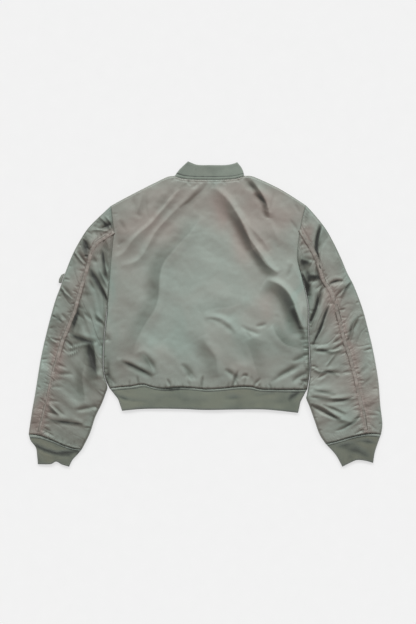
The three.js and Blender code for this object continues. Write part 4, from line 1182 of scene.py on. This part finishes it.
def seam_strip(name, surface, seed):
    """The raised, double-stitched seam down the back of a sleeve."""
    shares = np.linspace(0, 1, 500)
    spine = surface(np.zeros(500), shares)[0]
    run = np.concatenate([[0], np.cumsum(np.linalg.norm(np.diff(spine[:, :2], axis=0), axis=1))])
    for axis in range(3):
        spine[:, axis] = np.interp(np.linspace(0, run[-1], 500), run, spine[:, axis])
    level = np.convolve(np.pad(spine[:, 2], 8, mode="edge"), np.ones(17) / 17, mode="valid")
    ahead = np.gradient(spine[:, :2], axis=0)
    ahead /= np.linalg.norm(ahead, axis=1)[:, None]
    sideways = np.column_stack([-ahead[:, 1], ahead[:, 0]])

    def place(u, v):
        along = v * run[-1]
        offset = (u - 0.5) * 2 * (STRIP_HALF + 0.8)
        centre = [np.interp(v, np.linspace(0, 1, 500), spine[:, axis]) for axis in (0, 1)]
        side_x = np.interp(v, np.linspace(0, 1, 500), sideways[:, 0])
        side_y = np.interp(v, np.linspace(0, 1, 500), sideways[:, 1])
        waver = 0.5 * ripple(along, 0 * along, 30, seed)
        x, y = centre[0] + side_x * (offset + waver), centre[1] + side_y * (offset + waver)
        edge = np.clip(np.abs(offset) / (STRIP_HALF + 0.8), 0, 1)
        dome = (1 - edge**6) * (STRIP_RISE + 0.7) - 0.7
        pinch = 0.1 * ripple(along, offset * 0.3, 4.5, seed + 1)
        pinch += 0.14 * ripple(along, offset * 0.1, 11, seed + 2)
        stitched = groove(np.abs(offset), STRIP_STITCHES, 0.9)
        z = np.interp(v, np.linspace(0, 1, 500), level) + dome + pinch * (1 - edge**4) - 0.35 * stitched
        # Painted shade: darker along the rows of stitches and in the pinched hollows, lighter and more mauve on the
        # pinched rises
        hollow = 0.5 - pinch + (0.75 + 0.3 * ripple(along, 0 * along, 26, seed + 3)) * stitched
        tints = {"mauve": 0.82 + 0.2 * pinch, "hollow": hollow}
        return np.column_stack([x, y, z]), tints, np.column_stack([offset, along])

    piece = cloth(name, 12, 430, place, NYLON, thickness=0.8)
    rows = []
    for side in (-1, 1):
        shares = np.linspace(0.004, 0.996, 500)
        offset = 0.5 + side * STRIP_STITCHES / (2 * (STRIP_HALF + 0.8))
        points = place(np.full(500, offset), shares)[0] + [0, 0, 0.12]
        rows.append((points, 3.2, 2.4, 0.34))
    return piece, rows


# Rib bands

BAND_ROLL = 5.6
RIB_PITCH = 2.6
RIB_RISE = 0.3
BAND_CLOTH = 2.4


def band_place(columns, top, bottom, seed, folds=(), trim=0):
    """Places a rib band pressed flat, from its columns: (plan, layer, fold, share of the width) for each u."""
    middle = (top + bottom) / 2
    count = len(columns)
    fold_of, share_of = (np.array([column[i] for column in columns], float) for i in (2, 3))

    def place(u, v):
        index = np.clip(np.rint(u * (count - 1)).astype(int), 0, count - 1)
        x, y, z, around, depth_all, hollow = (np.zeros_like(u) for _ in range(6))
        from_seam_all = np.zeros_like(u)
        for plan in {column[0] for column in columns}:
            for layer in (-1, 1):
                chosen = np.array([column[0] is plan and column[1] == layer for column in columns])
                here = chosen[index]
                if not here.any():
                    continue
                fold, share = fold_of[index[here]], share_of[index[here]]
                along = v[here] ** 1.5
                from_fold = np.abs(share - fold) * plan.width(along)
                xy = plan(share, along)
                px, py = xy[:, 0], xy[:, 1]
                run = share * float(plan.width(np.zeros(1))[0])
                depth = float(plan.height(np.array([0.5]))[0])
                from_seam, from_edge = along * depth, (1 - along) * depth
                half = (top - bottom) / 2 * shoulder(from_edge, 5, 0.5) * shoulder(from_seam, 2.5, 0.85)
                in_trim = 1 - smoothstep(from_seam, trim - 0.5, trim + 0.5)
                ribs = RIB_RISE * np.cos(run * (2 * math.pi / RIB_PITCH)) * (1 - in_trim)
                soft = 0.7 * ripple(px, py, 40, seed) + 0.3 * ripple(px, py, 16, seed + 1)
                relief = creases(folds, px, py) if layer > 0 else np.zeros_like(px)
                relief = relief + soft + 0.8 * gathers(run, from_seam, 8, 9, seed + 2)
                relief += 1.2 * groove(from_seam, WELT / 2, 3) - 0.9 * groove(from_seam, WELT, 1.1)
                lifted = half + relief * smoothstep(from_fold, 0, 10) * (1 if layer > 0 else 0)
                rise = np.maximum(lifted + ribs, 0.4) * shoulder(from_fold, BAND_ROLL, 0)
                if layer < 0:
                    rise = np.minimum(rise, (top - bottom) / 2)
                x[here], y[here], z[here] = px, py, middle + layer * rise
                around[here] = layer * run
                depth_all[here] = depth
                from_seam_all[here] = from_seam
                # Painted shade: dark lines at the row of stitches and at the seam, darker between the ribs, darker in
                # the troughs of the folds and lighter on their rises
                welt = 1.5 * groove(from_seam, WELT, 1.1) + 0.5 * groove(from_seam, 0, 1)
                between = (0.25 - 0.2 * np.cos(run * (2 * math.pi / RIB_PITCH))) * (1 - in_trim)
                hollow[here] = between + welt + 1.2 * np.clip(-relief / 2.5, -0.3, 1.4)
        tints = {"mauve": 1 - smoothstep(from_seam_all, trim - 0.8, trim + 0.8), "hollow": hollow}
        return np.column_stack([x, y, z]), tints, np.column_stack([around, v**1.5 * depth_all])

    return place


def fold_columns(plan, layer, fold):
    """Columns from a fold out to where the band is flat, close together at the fold."""
    turns = np.linspace(0, math.pi / 2, 9)[1:]
    shares = BAND_ROLL / float(plan.width(np.zeros(1))[0]) * (1 - np.cos(turns))
    return [(plan, layer, fold, abs(fold - share)) for share in shares]


def flat_columns(plan, layer, low, high, pitch=0.65):
    """Columns over the flat of a band, between two shares of its width."""
    width = float(plan.width(np.zeros(1))[0])
    count = max(int((high - low) * width / pitch), 2)
    return [(plan, layer, 0 if share < 0.5 else 1, share) for share in np.linspace(low, high, count)]


def across_layer(plan, layer, pitch=0.65):
    width = float(plan.width(np.zeros(1))[0])
    margin = (BAND_ROLL + 0.6) / width
    middle = flat_columns(plan, layer, margin, 1 - margin, pitch)
    return fold_columns(plan, layer, 0) + middle + fold_columns(plan, layer, 1)[::-1]


def turn_column(plan, fold):
    return (plan, 1, fold, fold)


# Strong folds in the ribs, as in the tables above
WAISTBAND_CREASES = [
    [-226, -184, -182, -206, -4, 5, -2.6],
    [-206, -198, -133, -212, -3, 5, -1.6],
    [-133, -185, -49, -183, 5, 5, -1.8],
    [-13, -187, 20, -189, 0, 5, -1.4],
    [40, -204, 96, -200, 2, 6, -1.0],
    [114, -199, 167, -192, 3, 5, -1.6],
    [227, -190, 198, -211, -3, 6, -2.6],
    [-70, -206, 10, -210, 3, 8, -0.8],
    [150, -212, 214, -216, 2, 7, -1.0],
]


def waistband():
    plan = Patch(near=Line(WAIST), far=Line(HEM), start=Line(HEM_SIDE_LEFT), end=Line(HEM_SIDE_RIGHT))

    def across(share):
        return plan(share, np.full_like(share, 0.5))

    left_end, right_end = share_at_x(across, ZIP_LEFT_X), share_at_x(across, ZIP_RIGHT_X)
    margin = (BAND_ROLL + 0.6) / float(plan.width(np.zeros(1))[0])
    columns = [
        *flat_columns(plan, -1, margin, left_end, 1.3)[::-1],
        *fold_columns(plan, -1, 0)[::-1],
        turn_column(plan, 0),
        *across_layer(plan, 1),
        turn_column(plan, 1),
        *fold_columns(plan, -1, 1),
        *flat_columns(plan, -1, right_end, 1 - margin, 1.3)[::-1],
    ]
    place = band_place(columns, WAISTBAND_TOP, 0, 61, WAISTBAND_CREASES, trim=3.4)
    piece = cloth("waistband_knit", len(columns) - 1, 30, place, KNIT_HEM, thickness=BAND_CLOTH)
    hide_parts("waistband")
    return piece


def cuff(side, cut, ends, creases_here, seed):
    near = chain((0.25, Line(cut["wrist_outer"])), (0.75, Line(cut["wrist_under"])))
    plan = Patch(near=near, far=Line(ends["edge"]), start=Line(ends["start"]), end=Line(ends["end"]))
    columns = [
        turn_column(plan, 0),
        *across_layer(plan, 1),
        turn_column(plan, 1),
        *across_layer(plan, -1, 1.0)[::-1],
        turn_column(plan, 0),
    ]
    place = band_place(columns, CUFF_TOP, 0, seed, creases_here, trim=4.6)
    piece = cloth(
        f"cuff_{side}_knit", len(columns) - 1, 40, place, KNIT_CUFF, thickness=BAND_CLOTH,
        closed=True
    )
    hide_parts(f"cuff_{side}")
    return piece


CUFF_LEFT_CREASES = [
    [-420, -306, -352, -334, -5, 5, -4.2],
    [-380, -330, -290, -326, -7, 5, -4.0],
    [-392, -330, -350, -346, 0, 7, -1.4],
    [-340, -336, -318, -352, 2, 5, -1.2],
    [-404, -322, -398, -356, 0, 6, -1.0],
]
CUFF_RIGHT_CREASES = [
    [313, -317, 395, -340, 2, 9, -2.0],
    [300, -318, 360, -312, 0, 5, -1.6],
    [360, -306, 412, -310, 2, 5, -1.6],
    [340, -338, 352, -356, 0, 6, -1.2],
]


def collar():
    back = Patch(
        near=Line(NECK), far=Line(COLLAR_EDGE), start=Line(COLLAR_SIDE_LEFT), end=Line(COLLAR_SIDE_RIGHT)
    )

    def front(side, zip_x):
        neck_point, edge_point = side(0.0), side(1.0)
        zip_top = neck_point[1] - FRONT_NECK_DROP
        top_y = zip_top + COLLAR_FRONT_DEPTH
        corner = [
            edge_point[0] + (zip_x - edge_point[0]) * 0.4,
            edge_point[1] + (top_y - edge_point[1]) * 0.78,
        ]
        foot = np.array([zip_x, zip_top])
        rise = np.array([0, COLLAR_FRONT_DEPTH])
        return Patch(
            near=front_neck(neck_point, zip_x),
            far=Line([edge_point, corner, [zip_x, top_y]]),
            start=side,
            end=lambda v: foot + rise * np.asarray(v, float)[..., None],
        )

    left, right = front(Line(COLLAR_SIDE_LEFT), ZIP_LEFT_X), front(Line(COLLAR_SIDE_RIGHT), ZIP_RIGHT_X)

    def lower(plan):
        width = float(plan.width(np.array([0.0]))[0])
        shares = np.linspace(0.1, 1, int(width * 0.9 / 1.3))
        return [(plan, -1, 0, share) for share in shares]

    columns = [
        *lower(left)[::-1],
        *fold_columns(left, -1, 0)[::-1],
        turn_column(back, 0),
        *across_layer(back, 1, 0.6),
        turn_column(back, 1),
        *fold_columns(right, -1, 0),
        *lower(right),
    ]
    place = band_place(columns, COLLAR_TOP, COLLAR_BOTTOM, 81)
    piece = cloth("collar_knit", len(columns) - 1, 28, place, KNIT_COLLAR, thickness=BAND_CLOTH)
    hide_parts("collar")
    return piece


# Zip

TOOTH_PITCH = 3.0
TAPE_INSIDE = 2.8
TAPE_OUTSIDE = 7.2


def zip_teeth():
    """The closed chain: teeth in turn from each tape, their heads meeting in the middle."""
    bm = bmesh.new()
    top = SLIDER_TOP_Y - SLIDER_LENGTH - 0.3
    middles = np.arange(ZIP_FOOT_Y + 1, top - 1, TOOTH_PITCH / 2)
    for number, y in enumerate(middles):
        side = 1 if number % 2 else -1
        at = Matrix.Translation(Vector((FRONT_CENTRE + side * 0.75, y, ZIP_LEVEL)) * MM)
        size = Matrix.Diagonal((3.4 * MM, 1.15 * MM, 2.5 * MM, 1))
        bmesh.ops.create_cube(bm, size=1, matrix=at @ size)
    bmesh.ops.bevel(
        bm, geom=bm.edges[:], offset=0.28 * MM, segments=1, profile=0.5, affect="EDGES", material=-1
    )
    teeth = piece_from(bm, "zip_teeth", NICKEL, smooth=False)
    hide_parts("zip_chain")
    return teeth


def zip_tape(side, name):
    """One woven tape, which narrows round the slider, with a cord along its inner edge."""

    def place(u, v):
        y = ZIP_FOOT_Y + (ZIP_TOP_Y - ZIP_FOOT_Y) * v
        at_slider = smoothstep(y, SLIDER_TOP_Y - SLIDER_LENGTH - 3, SLIDER_TOP_Y - SLIDER_LENGTH)
        inside = TAPE_INSIDE + (5.4 - TAPE_INSIDE) * at_slider
        offset = inside + (TAPE_OUTSIDE - inside) * u
        x = FRONT_CENTRE + side * offset
        z = ZIP_LEVEL - 0.5 + 0.25 * groove(offset, inside + 0.7, 0.6) - 0.1 * ripple(x, y, 9, 5)
        tints = {"mauve": 0 * x, "hollow": 0 * x}
        return np.column_stack([x, y, z]), tints, np.column_stack([offset, y])

    piece = cloth(f"{name}_woven", 8, 240, place, TAPE, thickness=0.9)
    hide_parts(name)
    return piece


# The pocket's tab on the left sleeve

TAB_CORNERS = [[-337, 98], [-345.5, 94], [-351, 84], [-352, 75], [-345.6, 73.5], [-342.2, 84]]
TAB_LOW = 5.4
TAB_HIGH = 9.2


def pocket_tab():
    bm = bmesh.new()
    corners = [bm.verts.new((x * MM, y * MM, TAB_LOW * MM)) for x, y in TAB_CORNERS]
    bm.faces.new(corners)
    raised = bmesh.ops.extrude_face_region(bm, geom=bm.faces[:])["geom"]
    top = [item for item in raised if isinstance(item, bmesh.types.BMVert)]
    bmesh.ops.translate(bm, verts=top, vec=(0, 0, (TAB_HIGH - TAB_LOW) * MM))
    bmesh.ops.recalc_face_normals(bm, faces=bm.faces[:])
    bmesh.ops.bevel(bm, geom=bm.edges[:], offset=0.9 * MM, segments=3, profile=0.5, affect="EDGES",
                    material=-1)
    mauve = bm.verts.layers.float.new("mauve")
    hollow = bm.verts.layers.float.new("hollow")
    for vert in bm.verts:
        vert[mauve] = 0.4
        vert[hollow] = 0.6
    tab = piece_from(bm, "sleeve_pocket_tab", NYLON)
    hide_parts("pocket_tab")
    return tab


# Putting the jacket together


def build_body():
    back = cloth("back_nylon", 204, 212, back_surface, NYLON)
    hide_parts("back_panel")
    tapes = {"left": zip_tape(-1, "zip_tape_left"), "right": zip_tape(1, "zip_tape_right")}
    sides = {
        "left": (SIDE_UP_LEFT, Line(SHOULDER_LEFT), Line(WAIST), ZIP_LEFT_X, FRONT_LEFT_CREASES, 40),
        "right": (
            SIDE_UP_RIGHT, turned(Line(SHOULDER_RIGHT)), turned(Line(WAIST)), ZIP_RIGHT_X,
            FRONT_RIGHT_CREASES, 50
        ),
    }
    for side, (side_up, shoulder_line, waist, zip_x, rows, seed) in sides.items():
        surface = front_surface(front_plan(side_up, shoulder_line, waist, zip_x), rows, seed)
        front = cloth(f"front_{side}_nylon", 60, 120, surface, NYLON)
        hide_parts(f"front_{side}")


LEFT_FOLDS = (SLEEVE_LEFT_CREASES, SLEEVE_LEFT_CRESTS, SLEEVE_LEFT_MAUVE, SLEEVE_LEFT_SHADE)
RIGHT_FOLDS = (SLEEVE_RIGHT_CREASES, SLEEVE_RIGHT_CRESTS, SLEEVE_RIGHT_MAUVE, SLEEVE_RIGHT_SHADE)


def build_sleeve(side, cut, folds, seed):
    seam = Line(cut["seam"])
    halves = {
        "outer": (Line(cut["outer_edge"]), turned(Line(cut["armhole_outer"])),
                  turned(Line(cut["wrist_outer"]))),
        "under": (Line(cut["under_edge"]), Line(cut["armhole_under"]), Line(cut["wrist_under"])),
    }
    for half, (edge, armhole, wrist) in halves.items():
        surface = sleeve_surface(seam, edge, armhole, wrist, folds, seed, half, side)
        piece = cloth(
            f"sleeve_{side}_{half}_nylon", TOP_COLUMNS + UNDER_COLUMNS, 340, surface, NYLON
        )
        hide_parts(f"sleeve_{side}_{half}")
        if half == "outer":
            strip, thread_rows = seam_strip(f"sleeve_{side}_seam", surface, seed + 20)
    stitches(f"sleeve_{side}_stitches", thread_rows, THREAD)


def body_stitches():
    """Rows of stitches along the neck, the hem and the right side seam."""
    shares = np.linspace(0, 1, 400)
    plan = back_plan()
    neck = SHOULDER_SHARE + 0.004 + (1 - 2 * SHOULDER_SHARE - 0.008) * shares
    rows = []
    for away in (WELT, 1.4):
        points = back_surface(neck, 1 - away / plan.height(neck))[0]
        rows.append((points + [0, 0, 0.1], 3, 2.2, 0.32))
    up = SIDE_SHARE * (0.04 + 0.62 * shares)
    for away in (3, 14):
        points = back_surface(1 - away / plan.width(up), up)[0]
        rows.append((points + [0, 0, 0.1], 3, 2.2, 0.32))
    stitches("body_stitches", rows, THREAD)


def build_trim():
    waistband()
    cuff("left", SLEEVE_LEFT, CUFF_LEFT, CUFF_LEFT_CREASES, 91)
    cuff("right", SLEEVE_RIGHT, CUFF_RIGHT, CUFF_RIGHT_CREASES, 96)
    collar()
    zip_teeth()
    pocket_tab()
    for name in ("zip_slider", "zip_pull"):
        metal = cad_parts[name]
        metal.data.materials.clear()
        metal.data.materials.append(NICKEL)


# Studio

SCALE = 2.4  # millimetres for each pixel of the picture
PICTURE = (416, 624)
PICTURE_CENTRE = (6.0, 4.8)
CAMERA_HEIGHT = 6.0
SENSOR = 36


def studio_floor():
    finish = Finish("pale floor")
    grain = finish.noise(finish.place(), 30, 4)
    finish.surface(Base_Color=finish.mix(grain, [0.19, 0.19, 0.19, 1], [0.21, 0.21, 0.21, 1]), Roughness=0.9)
    finish.surface(Specular_IOR_Level=0.1, Emission_Color=[1, 1, 1, 1], Emission_Strength=0.64)
    bm = bmesh.new()
    bmesh.ops.create_grid(bm, x_segments=1, y_segments=1, size=6)
    mesh = bpy.data.meshes.new("floor")
    bm.to_mesh(mesh)
    bm.free()
    mesh.materials.append(finish.material)
    floor = bpy.data.objects.new("floor", mesh)
    floor.location.z = -0.0005
    bpy.context.scene.collection.objects.link(floor)


def daylight(name, towards, spread, strength):
    """A soft light far off, in the given direction, as wide as its spread in degrees."""
    lamp = bpy.data.lights.new(name, "SUN")
    lamp.angle = math.radians(spread)
    lamp.energy = strength
    holder = bpy.data.objects.new(name, lamp)
    holder.rotation_euler = Vector(towards).to_track_quat("Z", "Y").to_euler()
    bpy.context.scene.collection.objects.link(holder)


def studio():
    studio_floor()
    daylight("window", (-0.3, 0.85, 1.0), 26, 2.0)
    daylight("second window", (0.4, 0.8, 1.0), 26, 1.5)
    world = bpy.data.worlds.new("room")
    world.use_nodes = True
    world.node_tree.nodes["Background"].inputs["Color"].default_value = (1, 1, 1, 1)
    world.node_tree.nodes["Background"].inputs["Strength"].default_value = 0.4
    scene = bpy.context.scene
    scene.world = world
    scene.view_settings.view_transform = "Standard"
    camera = bpy.data.cameras.new("camera")
    camera.sensor_width = SENSOR
    camera.lens = SENSOR * CAMERA_HEIGHT / (PICTURE[1] * SCALE * MM)
    holder = bpy.data.objects.new("camera", camera)
    holder.location = (PICTURE_CENTRE[0] * MM, PICTURE_CENTRE[1] * MM, CAMERA_HEIGHT)
    scene.collection.objects.link(holder)
    scene.camera = holder


build_body()
build_sleeve("left", SLEEVE_LEFT, LEFT_FOLDS, 100)
build_sleeve("right", SLEEVE_RIGHT, RIGHT_FOLDS, 130)
body_stitches()
build_trim()
studio()
